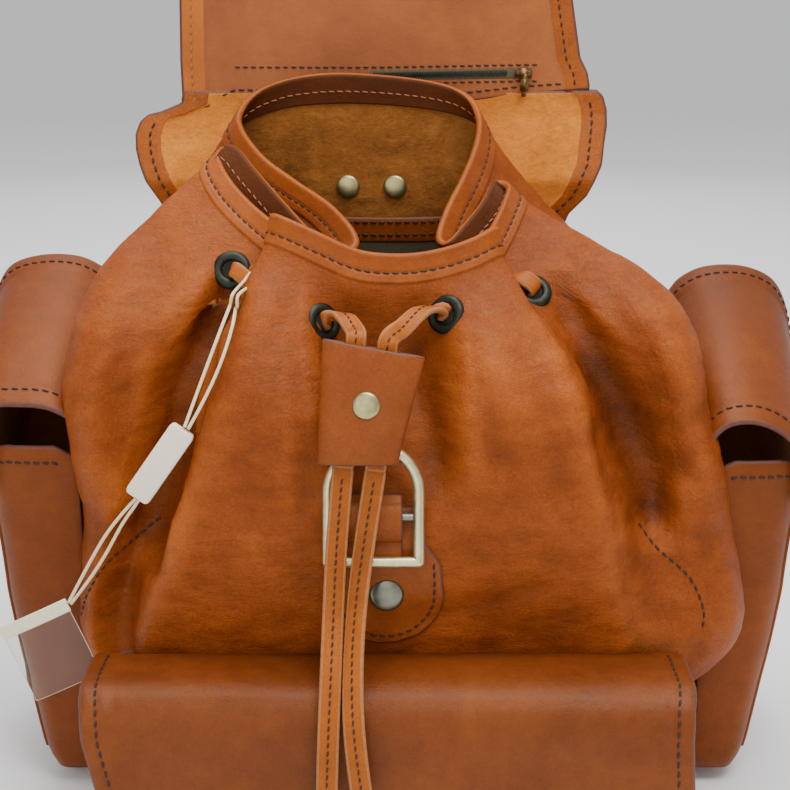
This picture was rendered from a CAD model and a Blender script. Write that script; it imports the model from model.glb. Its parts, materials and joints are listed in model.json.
import json
import math

import bmesh
import bpy
import numpy as np
from mathutils import Matrix, Vector, noise
from mathutils.bvhtree import BVHTree

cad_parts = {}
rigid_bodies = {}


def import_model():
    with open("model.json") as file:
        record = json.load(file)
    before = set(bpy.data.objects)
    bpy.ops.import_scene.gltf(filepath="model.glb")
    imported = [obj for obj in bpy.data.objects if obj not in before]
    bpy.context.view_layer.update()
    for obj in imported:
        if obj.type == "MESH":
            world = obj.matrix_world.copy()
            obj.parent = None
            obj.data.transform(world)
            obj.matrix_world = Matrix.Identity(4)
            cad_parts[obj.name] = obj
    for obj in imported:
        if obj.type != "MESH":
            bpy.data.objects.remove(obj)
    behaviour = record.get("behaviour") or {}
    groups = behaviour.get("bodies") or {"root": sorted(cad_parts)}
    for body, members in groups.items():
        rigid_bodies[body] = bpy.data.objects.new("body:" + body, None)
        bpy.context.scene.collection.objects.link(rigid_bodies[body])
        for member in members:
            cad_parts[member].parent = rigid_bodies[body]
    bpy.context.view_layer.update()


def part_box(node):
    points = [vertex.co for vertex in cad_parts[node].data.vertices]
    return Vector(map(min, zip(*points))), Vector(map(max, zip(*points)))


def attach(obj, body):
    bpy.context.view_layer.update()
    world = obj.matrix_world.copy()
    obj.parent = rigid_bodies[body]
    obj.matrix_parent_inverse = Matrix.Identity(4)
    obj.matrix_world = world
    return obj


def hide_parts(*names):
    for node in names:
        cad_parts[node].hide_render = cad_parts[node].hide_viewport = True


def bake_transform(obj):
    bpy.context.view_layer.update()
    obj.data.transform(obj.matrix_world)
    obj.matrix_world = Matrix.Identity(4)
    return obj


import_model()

rng = np.random.default_rng(7)

# ------------------------------------------------------------------ camera
tilt = math.radians(18)
fwd = Vector((0, math.cos(tilt), -math.sin(tilt)))
cam = bpy.data.objects.new("camera", bpy.data.cameras.new("camera"))
bpy.context.scene.collection.objects.link(cam)
cam.location = Vector((0.0, -0.086, 0.227)) - fwd * 0.672
cam.rotation_euler = fwd.to_track_quat("-Z", "Y").to_euler()
cam.data.sensor_width = 36.0
cam.data.lens = 65.62
cam.data.clip_start = 0.01
bpy.context.scene.camera = cam


# ------------------------------------------------------------------ small tools
def link(o):
    bpy.context.scene.collection.objects.link(o)
    return o


def mesh_obj(name, verts, faces, mats, face_mat=None, smooth=True, attrs=None):
    me = bpy.data.meshes.new(name)
    verts = np.asarray(verts, float).reshape(-1, 3)
    faces = np.asarray(faces, dtype=np.int32)
    if faces.ndim == 2 and len(faces):
        n, k = faces.shape
        me.vertices.add(len(verts))
        me.vertices.foreach_set("co", verts.astype(np.float32).ravel())
        me.loops.add(n * k)
        me.loops.foreach_set("vertex_index", faces.ravel())
        me.polygons.add(n)
        me.polygons.foreach_set("loop_start", np.arange(0, n * k, k, dtype=np.int32))
        me.polygons.foreach_set("loop_total", np.full(n, k, dtype=np.int32))
        me.update(calc_edges=True)
    for m in mats:
        me.materials.append(m)
    if face_mat is not None:
        me.polygons.foreach_set("material_index", np.asarray(face_mat, dtype=np.int32))
    me.polygons.foreach_set("use_smooth", np.full(len(me.polygons), smooth))
    for key, val in (attrs or {}).items():
        a = me.attributes.new(key, "FLOAT", "POINT")
        a.data.foreach_set("value", np.asarray(val, dtype=np.float32).ravel())
    me.validate()
    return link(bpy.data.objects.new(name, me))


def poly_obj(name, verts, faces, mats, face_mat=None, smooth=True):
    me = bpy.data.meshes.new(name)
    me.from_pydata([tuple(v) for v in verts], [], [tuple(f) for f in faces])
    for m in mats:
        me.materials.append(m)
    if face_mat is not None:
        me.polygons.foreach_set("material_index", np.asarray(face_mat, dtype=np.int32))
    me.polygons.foreach_set("use_smooth", np.full(len(me.polygons), smooth))
    me.update()
    return link(bpy.data.objects.new(name, me))


def grid_faces(nv, nu, close_u=False, close_v=False, base=0):
    j = np.arange(nv if close_v else nv - 1)
    i = np.arange(nu if close_u else nu - 1)
    J, I = np.meshgrid(j, i, indexing="ij")
    J2, I2 = (J + 1) % nv, (I + 1) % nu
    f = np.stack([J * nu + I, J * nu + I2, J2 * nu + I2, J2 * nu + I], -1)
    return f.reshape(-1, 4) + base


def spline(points, knots, samples, closed=False):
    """Cubic Hermite through points (k, ...) at knots, evaluated at samples."""
    P = np.asarray(points, float)
    s = np.asarray(knots, float)
    if closed:
        L = s[-1]
        P = np.concatenate([P[-3:-1], P, P[1:3]]) if np.allclose(P[0], P[-1]) else P
        s = np.concatenate([s[-3:-1] - L, s, s[1:3] + L])
    n = len(s)
    m = np.empty_like(P)
    for i in range(n):
        a, b = max(i - 1, 0), min(i + 1, n - 1)
        m[i] = (P[b] - P[a]) / (s[b] - s[a])
    x = np.asarray(samples, float)
    k = np.clip(np.searchsorted(s, x, side="right") - 1, 0, n - 2)
    h = s[k + 1] - s[k]
    t = (x - s[k]) / h
    sh = (-1,) + (1,) * (P.ndim - 1)
    t, h = t.reshape(sh), h.reshape(sh)
    return ((2 * t**3 - 3 * t**2 + 1) * P[k] + (t**3 - 2 * t**2 + t) * h * m[k]
            + (-2 * t**3 + 3 * t**2) * P[k + 1] + (t**3 - t**2) * h * m[k + 1])


def curve_pts(points, n, closed=False):
    """n points evenly spaced along a smooth line through points."""
    P = np.asarray(points, float)
    if closed:
        P = np.concatenate([P, P[:1]])
    k = np.concatenate([[0], np.cumsum(np.linalg.norm(np.diff(P, axis=0), axis=1))])
    d = spline(P, k, np.linspace(0, k[-1], max(n * 4, 200)), closed)
    c = np.concatenate([[0], np.cumsum(np.linalg.norm(np.diff(d, axis=0), axis=1))])
    x = np.linspace(0, c[-1], n + 1)[:-1] if closed else np.linspace(0, c[-1], n)
    return np.stack([np.interp(x, c, d[:, i]) for i in range(d.shape[1])], 1)


def smooth01(x):
    x = np.clip(x, 0, 1)
    return x * x * (3 - 2 * x)


def normalize(a):
    return a / np.maximum(np.linalg.norm(a, axis=-1, keepdims=True), 1e-9)


def grid_normals(P, closed_u=False):
    if closed_u:
        du = np.roll(P, -1, axis=1) - np.roll(P, 1, axis=1)
    else:
        du = np.gradient(P, axis=1)
    dv = np.gradient(P, axis=0)
    return normalize(np.cross(du, dv))


def fbm(P, scale, octaves=3, seed=0.0, gain=0.5):
    """Fractal noise for an array of points, about -1 to 1."""
    sh = P.shape[:-1]
    Q = (P.reshape(-1, 3) * scale + seed)
    out = np.zeros(len(Q))
    amp = 1.0
    for o in range(octaves):
        out += amp * np.fromiter((noise.noise(Vector(q)) for q in Q * (2.03**o)), float, len(Q))
        amp *= gain
    return out.reshape(sh)


# ------------------------------------------------------------------ materials
def new_mat(name):
    m = bpy.data.materials.new(name)
    m.use_nodes = True
    nt = m.node_tree
    for n in list(nt.nodes):
        if n.type not in {"BSDF_PRINCIPLED", "OUTPUT_MATERIAL"}:
            nt.nodes.remove(n)
    b = next(n for n in nt.nodes if n.type == "BSDF_PRINCIPLED")
    return m, nt, b


def nd(nt, kind, **kw):
    n = nt.nodes.new(kind)
    for k, v in kw.items():
        if k.startswith("i_"):
            n.inputs[k[2:].replace("_", " ")].default_value = v
        else:
            setattr(n, k, v)
    return n


def lin(c):
    """sRGB 0-255 to linear."""
    out = []
    for x in c:
        x = x / 255.0
        out.append(x / 12.92 if x <= 0.04045 else ((x + 0.055) / 1.055) ** 2.4)
    return (*out, 1.0)


def ramp(nt, stops):
    r = nt.nodes.new("ShaderNodeValToRGB")
    els = r.color_ramp.elements
    while len(els) < len(stops):
        els.new(0.5)
    for e, (p, c) in zip(els, stops):
        e.position = p
        e.color = c
    return r


def math_node(nt, op, a, b=None, clamp=False):
    n = nt.nodes.new("ShaderNodeMath")
    n.operation = op
    n.use_clamp = clamp
    for i, x in enumerate((a, b)):
        if x is None:
            continue
        if isinstance(x, (int, float)):
            n.inputs[i].default_value = x
        else:
            nt.links.new(x, n.inputs[i])
    return n.outputs[0]


def leather(name, dark, mid, light, rough=0.46, grain=0.9, pebble=1.0, ridge=0.0, blotch=14.0, wrinkle=0.5, coat=0.12, spec=0.5):
    """Grained leather: blotchy dye, darker pores, pebbles, fine creases, lighter worn ridges (attribute 'ridge')."""
    m, nt, b = new_mat(name)
    L = nt.links.new
    co = nd(nt, "ShaderNodeTexCoord").outputs["Object"]
    n1 = nd(nt, "ShaderNodeTexNoise", i_Scale=blotch, i_Detail=5.0, i_Roughness=0.62, i_Distortion=0.35)
    L(co, n1.inputs["Vector"])
    n2 = nd(nt, "ShaderNodeTexNoise", i_Scale=95.0, i_Detail=6.0, i_Roughness=0.7)
    L(co, n2.inputs["Vector"])
    n3 = nd(nt, "ShaderNodeTexNoise", i_Scale=420.0, i_Detail=4.0, i_Roughness=0.6)
    L(co, n3.inputs["Vector"])
    mixv = math_node(nt, "ADD", math_node(nt, "MULTIPLY", n1.outputs["Fac"], 0.72), math_node(nt, "MULTIPLY", n2.outputs["Fac"], 0.28))
    if ridge:
        at = nd(nt, "ShaderNodeAttribute", attribute_name="ridge")
        mixv = math_node(nt, "ADD", mixv, math_node(nt, "MULTIPLY", at.outputs["Fac"], ridge))
    cr = ramp(nt, [(0.16, dark), (0.50, mid), (0.92, light)])
    L(mixv, cr.inputs["Fac"])
    # pebbles and pores
    v1 = nd(nt, "ShaderNodeTexVoronoi", feature="DISTANCE_TO_EDGE", i_Scale=520.0 / pebble, i_Randomness=1.0)
    wob = nd(nt, "ShaderNodeMixRGB", blend_type="ADD")
    wob.inputs["Fac"].default_value = 0.006
    L(co, wob.inputs["Color1"])
    nw = nd(nt, "ShaderNodeTexNoise", i_Scale=260.0, i_Detail=2.0)
    L(co, nw.inputs["Vector"])
    L(nw.outputs["Color"], wob.inputs["Color2"])
    L(wob.outputs["Color"], v1.inputs["Vector"])
    cell = ramp(nt, [(0.0, (0, 0, 0, 1)), (0.12, (0.75, 0.75, 0.75, 1)), (0.4, (1, 1, 1, 1))])
    L(v1.outputs["Distance"], cell.inputs["Fac"])
    # creases: stretched noise bands
    mp = nd(nt, "ShaderNodeMapping")
    mp.inputs["Scale"].default_value = (1.0, 1.0, 2.6)
    L(co, mp.inputs["Vector"])
    wr = nd(nt, "ShaderNodeTexNoise", i_Scale=62.0, i_Detail=7.0, i_Roughness=0.68, i_Distortion=1.6)
    L(mp.outputs["Vector"], wr.inputs["Vector"])
    wr2 = ramp(nt, [(0.36, (0, 0, 0, 1)), (0.50, (1, 1, 1, 1)), (0.66, (0.35, 0.35, 0.35, 1))])
    L(wr.outputs["Fac"], wr2.inputs["Fac"])
    dk = nd(nt, "ShaderNodeMixRGB", blend_type="MULTIPLY")
    dk.inputs["Fac"].default_value = 0.30 * grain
    L(cr.outputs["Color"], dk.inputs["Color1"])
    L(cell.outputs["Color"], dk.inputs["Color2"])
    dk2 = nd(nt, "ShaderNodeMixRGB", blend_type="MULTIPLY")
    dk2.inputs["Fac"].default_value = 0.22 * wrinkle
    L(dk.outputs["Color"], dk2.inputs["Color1"])
    L(wr2.outputs["Color"], dk2.inputs["Color2"])
    L(dk2.outputs["Color"], b.inputs["Base Color"])
    rr = math_node(nt, "ADD", math_node(nt, "MULTIPLY", n2.outputs["Fac"], 0.22), rough - 0.11)
    L(rr, b.inputs["Roughness"])
    b.inputs["Specular IOR Level"].default_value = spec
    b.inputs["Specular Tint"].default_value = (1.0, 0.74, 0.50, 1.0)
    b.inputs["Coat Weight"].default_value = coat
    b.inputs["Coat Roughness"].default_value = 0.38
    h = math_node(nt, "ADD", math_node(nt, "MULTIPLY", cell.outputs["Color"], 0.45 * grain), math_node(nt, "MULTIPLY", n3.outputs["Fac"], 0.35 * grain))
    b1 = nd(nt, "ShaderNodeBump", i_Strength=0.42, i_Distance=0.00035)
    L(h, b1.inputs["Height"])
    b2 = nd(nt, "ShaderNodeBump", i_Strength=0.55 * wrinkle + 0.001, i_Distance=0.0011)
    L(wr2.outputs["Color"], b2.inputs["Height"])
    L(b1.outputs["Normal"], b2.inputs["Normal"])
    b3 = nd(nt, "ShaderNodeBump", i_Strength=0.35, i_Distance=0.0016)
    L(n2.outputs["Fac"], b3.inputs["Height"])
    L(b2.outputs["Normal"], b3.inputs["Normal"])
    L(b3.outputs["Normal"], b.inputs["Normal"])
    return m


def suede(name, dark, mid, light):
    m, nt, b = new_mat(name)
    L = nt.links.new
    co = nd(nt, "ShaderNodeTexCoord").outputs["Object"]
    n1 = nd(nt, "ShaderNodeTexNoise", i_Scale=24.0, i_Detail=6.0, i_Roughness=0.7, i_Distortion=0.5)
    L(co, n1.inputs["Vector"])
    mp = nd(nt, "ShaderNodeMapping")
    mp.inputs["Scale"].default_value = (1.0, 1.0, 1.9)
    mp.inputs["Rotation"].default_value = (0.2, 0.35, 0.1)
    L(co, mp.inputs["Vector"])
    n2 = nd(nt, "ShaderNodeTexNoise", i_Scale=190.0, i_Detail=8.0, i_Roughness=0.78, i_Distortion=1.2)
    L(mp.outputs["Vector"], n2.inputs["Vector"])
    n3 = nd(nt, "ShaderNodeTexNoise", i_Scale=900.0, i_Detail=3.0, i_Roughness=0.7)
    L(co, n3.inputs["Vector"])
    mixv = math_node(nt, "ADD", math_node(nt, "MULTIPLY", n1.outputs["Fac"], 0.5), math_node(nt, "MULTIPLY", n2.outputs["Fac"], 0.5))
    cr = ramp(nt, [(0.34, dark), (0.5, mid), (0.66, light)])
    L(mixv, cr.inputs["Fac"])
    L(cr.outputs["Color"], b.inputs["Base Color"])
    b.inputs["Roughness"].default_value = 0.95
    b.inputs["Specular IOR Level"].default_value = 0.15
    b.inputs["Sheen Weight"].default_value = 0.12
    b.inputs["Sheen Tint"].default_value = (1.0, 0.78, 0.55, 1.0)
    b.inputs["Sheen Roughness"].default_value = 0.5
    h = math_node(nt, "ADD", math_node(nt, "MULTIPLY", n2.outputs["Fac"], 0.8), math_node(nt, "MULTIPLY", n3.outputs["Fac"], 0.5))
    b1 = nd(nt, "ShaderNodeBump", i_Strength=0.7, i_Distance=0.0009)
    L(h, b1.inputs["Height"])
    L(b1.outputs["Normal"], b.inputs["Normal"])
    return m


def simple(name, color, rough=0.6, metal=0.0, bump=0.0, scale=300.0, vary=0.12, spec=0.5, stretch=(1, 1, 1)):
    m, nt, b = new_mat(name)
    L = nt.links.new
    co = nd(nt, "ShaderNodeTexCoord").outputs["Object"]
    mp = nd(nt, "ShaderNodeMapping")
    mp.inputs["Scale"].default_value = stretch
    L(co, mp.inputs["Vector"])
    n = nd(nt, "ShaderNodeTexNoise", i_Scale=scale, i_Detail=5.0, i_Roughness=0.65)
    L(mp.outputs["Vector"], n.inputs["Vector"])
    d = tuple(x * (1 - vary) for x in color[:3]) + (1,)
    l = tuple(min(1, x * (1 + vary)) for x in color[:3]) + (1,)
    cr = ramp(nt, [(0.35, d), (0.65, l)])
    L(n.outputs["Fac"], cr.inputs["Fac"])
    L(cr.outputs["Color"], b.inputs["Base Color"])
    b.inputs["Metallic"].default_value = metal
    b.inputs["Specular IOR Level"].default_value = spec
    r = math_node(nt, "ADD", math_node(nt, "MULTIPLY", n.outputs["Fac"], 0.2), rough - 0.1)
    L(r, b.inputs["Roughness"])
    if bump:
        bb = nd(nt, "ShaderNodeBump", i_Strength=bump, i_Distance=0.0006)
        L(n.outputs["Fac"], bb.inputs["Height"])
        L(bb.outputs["Normal"], b.inputs["Normal"])
    return m


M_BODY = leather("body_leather", lin((74, 28, 6)), lin((138, 62, 15)), lin((184, 94, 29)), rough=0.46, ridge=0.24, wrinkle=0.6, coat=0.02, spec=0.26)
M_POCKET = leather("pocket_leather", lin((92, 40, 9)), lin((142, 70, 17)), lin((176, 97, 27)), rough=0.44, grain=0.5, ridge=0.16, wrinkle=0.18, blotch=9.0, coat=0.05, spec=0.35)
M_FLAP = leather("flap_leather", lin((50, 21, 6)), lin((106, 48, 14)), lin((150, 76, 25)), rough=0.44, grain=0.5, ridge=0.16, wrinkle=0.2, blotch=9.0, coat=0.05, spec=0.28)
M_LIDOUT = leather("lid_leather", lin((104, 46, 9)), lin((158, 76, 16)), lin((190, 103, 26)), rough=0.46, wrinkle=0.3, ridge=0.12, coat=0.04, spec=0.32)
M_LINING = leather("lid_lining", lin((106, 51, 22)), lin((146, 76, 35)), lin((176, 99, 46)), rough=0.42, grain=0.3, wrinkle=0.14, blotch=17.0, coat=0.08, spec=0.35)
M_STRAP = leather("strap_leather", lin((80, 33, 8)), lin((134, 62, 16)), lin((172, 90, 26)), rough=0.44, grain=0.7, wrinkle=0.25, ridge=0.14, coat=0.05, spec=0.32)
M_HEM = leather("hem_leather", lin((88, 38, 8)), lin((142, 66, 15)), lin((182, 96, 26)), rough=0.44, grain=0.6, wrinkle=0.22, ridge=0.16, coat=0.03, spec=0.26)
M_HEM_IN = leather("hem_inside", lin((52, 22, 6)), lin((80, 34, 8)), lin((104, 49, 13)), rough=0.55, grain=0.6, wrinkle=0.3, coat=0.0, spec=0.25)
M_BIND = leather("binding_leather", lin((136, 65, 16)), lin((172, 89, 25)), lin((196, 114, 34)), rough=0.45, grain=0.4, wrinkle=0.12, coat=0.04, spec=0.32)
M_SUEDE = suede("suede_light", lin((160, 89, 27)), lin((196, 116, 40)), lin((218, 142, 60)))
M_SUEDE_IN = suede("suede_inside", lin((98, 54, 20)), lin((144, 86, 36)), lin((176, 112, 54)))
M_EDGE = simple("raw_edge", lin((158, 98, 52)), rough=0.8, scale=500, bump=0.2, vary=0.15)
M_THREAD = simple("thread_dark", lin((40, 22, 15)), rough=0.7, scale=900, bump=0.3)
M_THREAD_L = simple("thread_tan", lin((150, 92, 58)), rough=0.7, scale=900, bump=0.3)
M_EYELET = simple("eyelet_metal", lin((46, 48, 40)), rough=0.46, metal=0.8, scale=260, vary=0.3, bump=0.05)
M_BRASS = simple("antique_brass", lin((168, 158, 110)), rough=0.34, metal=0.9, scale=180, vary=0.22, bump=0.04)
M_BRONZE = simple("zip_bronze", lin((110, 84, 50)), rough=0.42, metal=0.85, scale=200, vary=0.2, bump=0.04)
M_PALE = simple("pale_brass", lin((214, 204, 158)), rough=0.36, metal=0.92, scale=240, vary=0.12, bump=0.08)
M_GUN = simple("gunmetal", lin((122, 122, 108)), rough=0.32, metal=0.9, scale=200, vary=0.2, bump=0.04)
M_CLOTH = simple("pocket_cloth", lin((78, 68, 46)), rough=0.9, scale=700, bump=0.5)
M_STRING = simple("string_cream", lin((226, 208, 168)), rough=0.85, scale=1200, bump=0.4, vary=0.1)
M_PLASTIC = simple("bead_plastic", lin((232, 220, 196)), rough=0.42, scale=60, vary=0.03)
M_CARD = simple("tag_card", lin((228, 214, 186)), rough=0.75, scale=300, bump=0.1, vary=0.05)

M_DARK = simple("hole_dark", lin((14, 10, 8)), rough=0.9)
M_THONG = leather("thong_leather", lin((104, 46, 11)), lin((158, 80, 21)), lin((190, 106, 31)), rough=0.44, grain=0.5, wrinkle=0.25, ridge=0.14, coat=0.02, spec=0.24)
M_EDGE_D = simple("dyed_edge", lin((92, 46, 26)), rough=0.6, scale=500, bump=0.2, vary=0.2)
M_POCKET2 = leather("side_pocket_leather", lin((60, 25, 7)), lin((112, 51, 14)), lin((156, 79, 25)), rough=0.46, grain=0.45, ridge=0.16, wrinkle=0.16, blotch=6.0, coat=0.03, spec=0.25)
M_CLEAR = simple("tag_film", lin((246, 246, 242)), rough=0.05, scale=60, vary=0.0, spec=0.3)
M_CLEAR.node_tree.nodes["Principled BSDF"].inputs["Transmission Weight"].default_value = 0.97
M_CLEAR.node_tree.nodes["Principled BSDF"].inputs["IOR"].default_value = 1.03

# ------------------------------------------------------------------ the body
# mouth line x, y, z (mm); then where that column meets the bulge (mm)
RIM = [
    (-24.3, 68.0, 358.2, -10, 83, 215),
    (-51.3, 67.0, 356.7, -60, 83, 215),
    (-71.6, 63.0, 351.3, -105, 82, 215),
    (-81.2, 55.0, 344.7, -138, 76, 215),
    (-83.7, 45.0, 335.4, -156, 64, 215),
    (-71.9, 32.0, 320.5, -166, 50, 215),
    (-53.3, 17.0, 309.3, -173, 40, 215),
    (-35.2, 3.0, 299.9, -176, 33, 215),
    (-24.1, -10.0, 291.2, -177, 27, 215),
    (-20.4, -19.0, 284.9, -178, 22, 215),
    (-25.3, -23.0, 282.2, -178, 18, 215),
    (-39.3, -20.0, 287.6, -178, 14, 215),
    (-55.7, -8.0, 301.5, -178, 9, 215),
    (-71.6, 5.0, 316.4, -178, 4, 215),
    (-81.7, 13.0, 325.9, -178, -2, 215),
    (-87.9, 14.0, 327.3, -177, -8, 215),
    (-90.6, 9.0, 322.9, -175, -16, 214),
    (-84.1, -2.0, 313.0, -170, -26, 213),
    (-73.8, -13.0, 303.9, -162, -37, 211),
    (-63.7, -22.0, 297.1, -148, -48, 209),
    (-54.5, -28.0, 291.3, -128, -55, 208),
    (-49.4, -32.0, 288.2, -109, -58, 207),
    (-52.0, -36.0, 292.9, -101, -68, 206),
    (-57.5, -37.0, 299.0, -99, -80, 205),
    (-59.6, -40.0, 302.1, -95, -90, 205),
    (-54.1, -44.0, 301.4, -84, -97, 205),
    (-37.6, -49.0, 295.1, -66, -101, 205),
    (-21.9, -52.0, 288.5, -48, -103, 205),
    (-11.0, -52.0, 285.6, -30, -104, 205),
    (7.2, -51.0, 284.9, -4, -104, 205),
    (23.9, -49.0, 287.4, 24, -103, 205),
    (37.9, -45.0, 291.4, 50, -101, 205),
    (46.3, -41.0, 295.0, 72, -97, 205),
    (49.9, -37.0, 295.1, 86, -90, 205),
    (47.9, -32.0, 291.1, 92, -79, 206),
    (44.8, -28.0, 288.3, 99, -67, 207),
    (47.1, -22.0, 289.6, 114, -62, 208),
    (52.1, -12.0, 295.6, 134, -56, 209),
    (56.8, 0.0, 303.0, 152, -45, 211),
    (58.9, 9.0, 308.1, 165, -30, 213),
    (55.2, 15.0, 309.7, 173, -14, 214),
    (50.6, 15.0, 307.1, 177, 0, 215),
    (44.4, 4.0, 299.2, 178, 11, 215),
    (34.8, -8.0, 290.3, 178, 19, 215),
    (27.0, -17.0, 284.5, 177, 27, 215),
    (23.1, -13.0, 286.2, 174, 34, 215),
    (28.1, 4.0, 297.7, 169, 43, 215),
    (36.8, 20.0, 311.4, 162, 53, 215),
    (43.7, 36.0, 325.1, 151, 63, 215),
    (45.7, 48.0, 337.2, 136, 73, 215),
    (40.3, 60.0, 347.3, 106, 80, 215),
    (20.0, 66.0, 354.1, 52, 83, 215),
]
RIM = np.array(RIM) / 1000
K = len(RIM)
rim0, r4 = RIM[:, :3], RIM[:, 3:]


# the bag is wider in front of the side pockets than between them
half = np.where(r4[:, 0] < 0, 0.157, 0.152)
wide = np.abs(r4[:, 0]) > 0.100
r4[:, 0] = np.where(wide, np.sign(r4[:, 0]) * (0.100 + (np.abs(r4[:, 0]) - 0.100) * (half - 0.100) / 0.078), r4[:, 0])
for col, x, y in ((13, -158, 0), (14, -160, -14), (15, -162, -29), (16, -163, -43), (17, -161, -57), (18, -155, -70), (19, -143, -77),
                  (20, -124, -71), (21, -110, -57), (22, -103, -63), (23, -100, -80), (24, -96, -92),
                  (33, 87, -94), (34, 93, -80), (35, 101, -64), (36, 113, -62), (37, 129, -70), (38, 143, -70), (39, 152, -56), (40, 154, -38), (41, 154, -18)):
    r4[col, :2] = (x / 1000, y / 1000)


def ring_at(phi, a, yc, bf, bb, n, z):
    """Rounded outline: half width a, depth bf to the front and bb to the back of yc."""
    c, s = np.cos(phi), np.sin(phi)
    x = a * np.sign(c) * np.abs(c) ** (2 / n)
    y = np.where(s < 0, bf, bb) * np.sign(s) * np.abs(s) ** (2 / n)
    return np.stack([x, yc + y, np.full_like(x, z)], -1)


# columns at two lower levels: column number, then x, y at z 155 and at z 98 (mm)
LOW = np.array([
    (0, -8, 83, -6, 82), (4, -146, 62, -146, 60), (8, -155, 26, -157, 26), (13, -156, 2, -159, 0),
    (16, -158, -38, -160, -34), (18, -154, -67, -159, -66), (20, -139, -78, -150, -82), (21, -125, -63, -139, -77),
    (22, -118, -69, -132, -80), (23, -114, -85, -127, -91), (24, -109, -97, -121, -96), (26, -76, -106, -84, -101), (29, -2, -107, -2, -101),
    (31, 56, -106, 62, -100), (33, 98, -101, 108, -99), (34, 107, -93, 118, -95), (35, 117, -81, 130, -91), (36, 130, -79, 144, -91), (37, 145, -81, 157, -90),
    (38, 159, -77, 169, -83), (39, 167, -62, 174, -69), (40, 161, -40, 165, -46), (41, 156, -16, 157, -22), (43, 154, 12, 155, 8),
    (45, 153, 34, 154, 34), (48, 141, 61, 143, 60), (50, 104, 81, 104, 80), (52, -8, 83, -6, 82),
], float)
low_at = spline(LOW[:, 1:] / 1000, LOW[:, 0], np.arange(K), closed=True)
R5 = np.concatenate([low_at[:, :2], np.full((K, 1), 0.155)], 1)
R6 = np.concatenate([low_at[:, 2:], np.full((K, 1), 0.098)], 1)
phi6 = np.arctan2(np.sign(R6[:, 1] + 0.009) * (np.abs(R6[:, 1] + 0.009) / 0.092) ** 1.7,
                  np.sign(R6[:, 0]) * (np.abs(R6[:, 0]) / 0.160) ** 1.7)
R7 = ring_at(phi6, 0.149, -0.006, 0.084, 0.084, 3.6, 0.045)
R8 = ring_at(phi6, 0.1485, 0.0, 0.0795, 0.079, 4.6, 0.010)
R9 = ring_at(phi6, 0.1448, 0.0, 0.0752, 0.0750, 5.2, 0.0008)

# column by column: out of the rim, down and over the shoulder, then down the bulge
TN = 90
tt = np.linspace(0, 1, TN)
span = np.linalg.norm(r4 - rim0, axis=1)
out = normalize((r4 - rim0) * [1, 1, 0])
full = np.interp(np.arange(K), [0, 2, 4, 14, 18, 21, 34, 37, 40, 47, 50, 52], [0.25, 0.3, 0.65, 0.85, 0.75, 0.28, 0.28, 0.5, 0.85, 0.7, 0.35, 0.25])
lift4 = np.interp(np.arange(K), [0, 3, 6, 14, 19, 22, 33, 37, 41, 46, 50, 52], [0.12, 0.13, 0.18, 0.20, 0.19, 0.12, 0.12, 0.17, 0.21, 0.19, 0.13, 0.12])
T4 = np.stack([np.zeros(K), np.zeros(K), -np.minimum(lift4, 1.35 * span)], 1) + (R5 - r4) * [0.5, 0.5, 0.0]
T0 = np.stack([np.zeros(K), np.zeros(K), -(0.05 + 0.55 * span) * (1 - 0.45 * (full - 0.25))], 1) + out * (full * span)[:, None]
h00, h10 = 2 * tt**3 - 3 * tt**2 + 1, tt**3 - 2 * tt**2 + tt
h01, h11 = -2 * tt**3 + 3 * tt**2, tt**3 - tt**2
upper = (h00[:, None, None] * rim0 + h10[:, None, None] * T0 + h01[:, None, None] * r4 + h11[:, None, None] * T4)
lowk = np.array([0, 0.055, 0.115, 0.17, 0.207, 0.222])
lowP = np.stack([r4, R5, R6, R7, R8, R9])
lowt = np.linspace(0, lowk[-1], 70)
lower = spline(lowP, lowk, lowt)
cols = np.concatenate([upper, lower[1:]])                       # (rows, K, 3)

NU = 1100
seg = np.linalg.norm(np.roll(rim0, -1, 0) - rim0, axis=1) + 0.5 * np.linalg.norm(np.roll(r4, -1, 0) - r4, axis=1)
kn = np.concatenate([[0], np.cumsum(seg)])
us = np.linspace(0, kn[-1], NU, endpoint=False)
colsT = np.moveaxis(cols, 1, 0)
colsT = np.concatenate([colsT, colsT[:1]])
dense = np.moveaxis(spline(colsT, kn, us, closed=True), 0, 1)   # (rows, NU, 3)

# rows at fixed distances below the rim, so the hem has one width
arc = np.concatenate([np.zeros((1, NU)), np.cumsum(np.linalg.norm(np.diff(dense, axis=0), axis=2), axis=0)])
near = np.concatenate([np.arange(0, 15, 0.6), np.arange(15, 70, 1.1)]) / 1000
far = np.linspace(0, 1, (190) + 1)[1:]
rows = []
for dist in near:
    rows.append(np.stack([[np.interp(dist, arc[:, i], dense[:, i, c]) for c in range(3)] for i in range(NU)]))
for f in far:
    rows.append(np.stack([[np.interp(near[-1] + f * (arc[-1, i] - near[-1]), arc[:, i], dense[:, i, c]) for c in range(3)] for i in range(NU)]))
Mid = np.stack(rows)
Dist = np.concatenate([np.repeat(near[:, None], NU, 1), near[-1] + far[:, None] * (arc[-1] - near[-1])[None]])
lim = np.interp(Mid[..., 2], [0.23, 0.262, 0.285, 0.300, 0.318, 0.345, 0.360], [0.0850, 0.0768, 0.0733, 0.0718, 0.0716, 0.0705, 0.0690])
over = np.clip((Mid[..., 1] - lim + 0.004) / 0.008, 0, None)
Mid[..., 1] = np.where(over > 0, np.minimum(Mid[..., 1], lim - 0.004 + 0.004 * (1 - np.exp(-over * 2))), Mid[..., 1])

N = grid_normals(Mid, True)
centre = np.array([0, -0.01, 0.15])
if (N[len(N) // 2] * (Mid[len(N) // 2] - centre)).sum(-1).mean() < 0:
    N = -N


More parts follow.
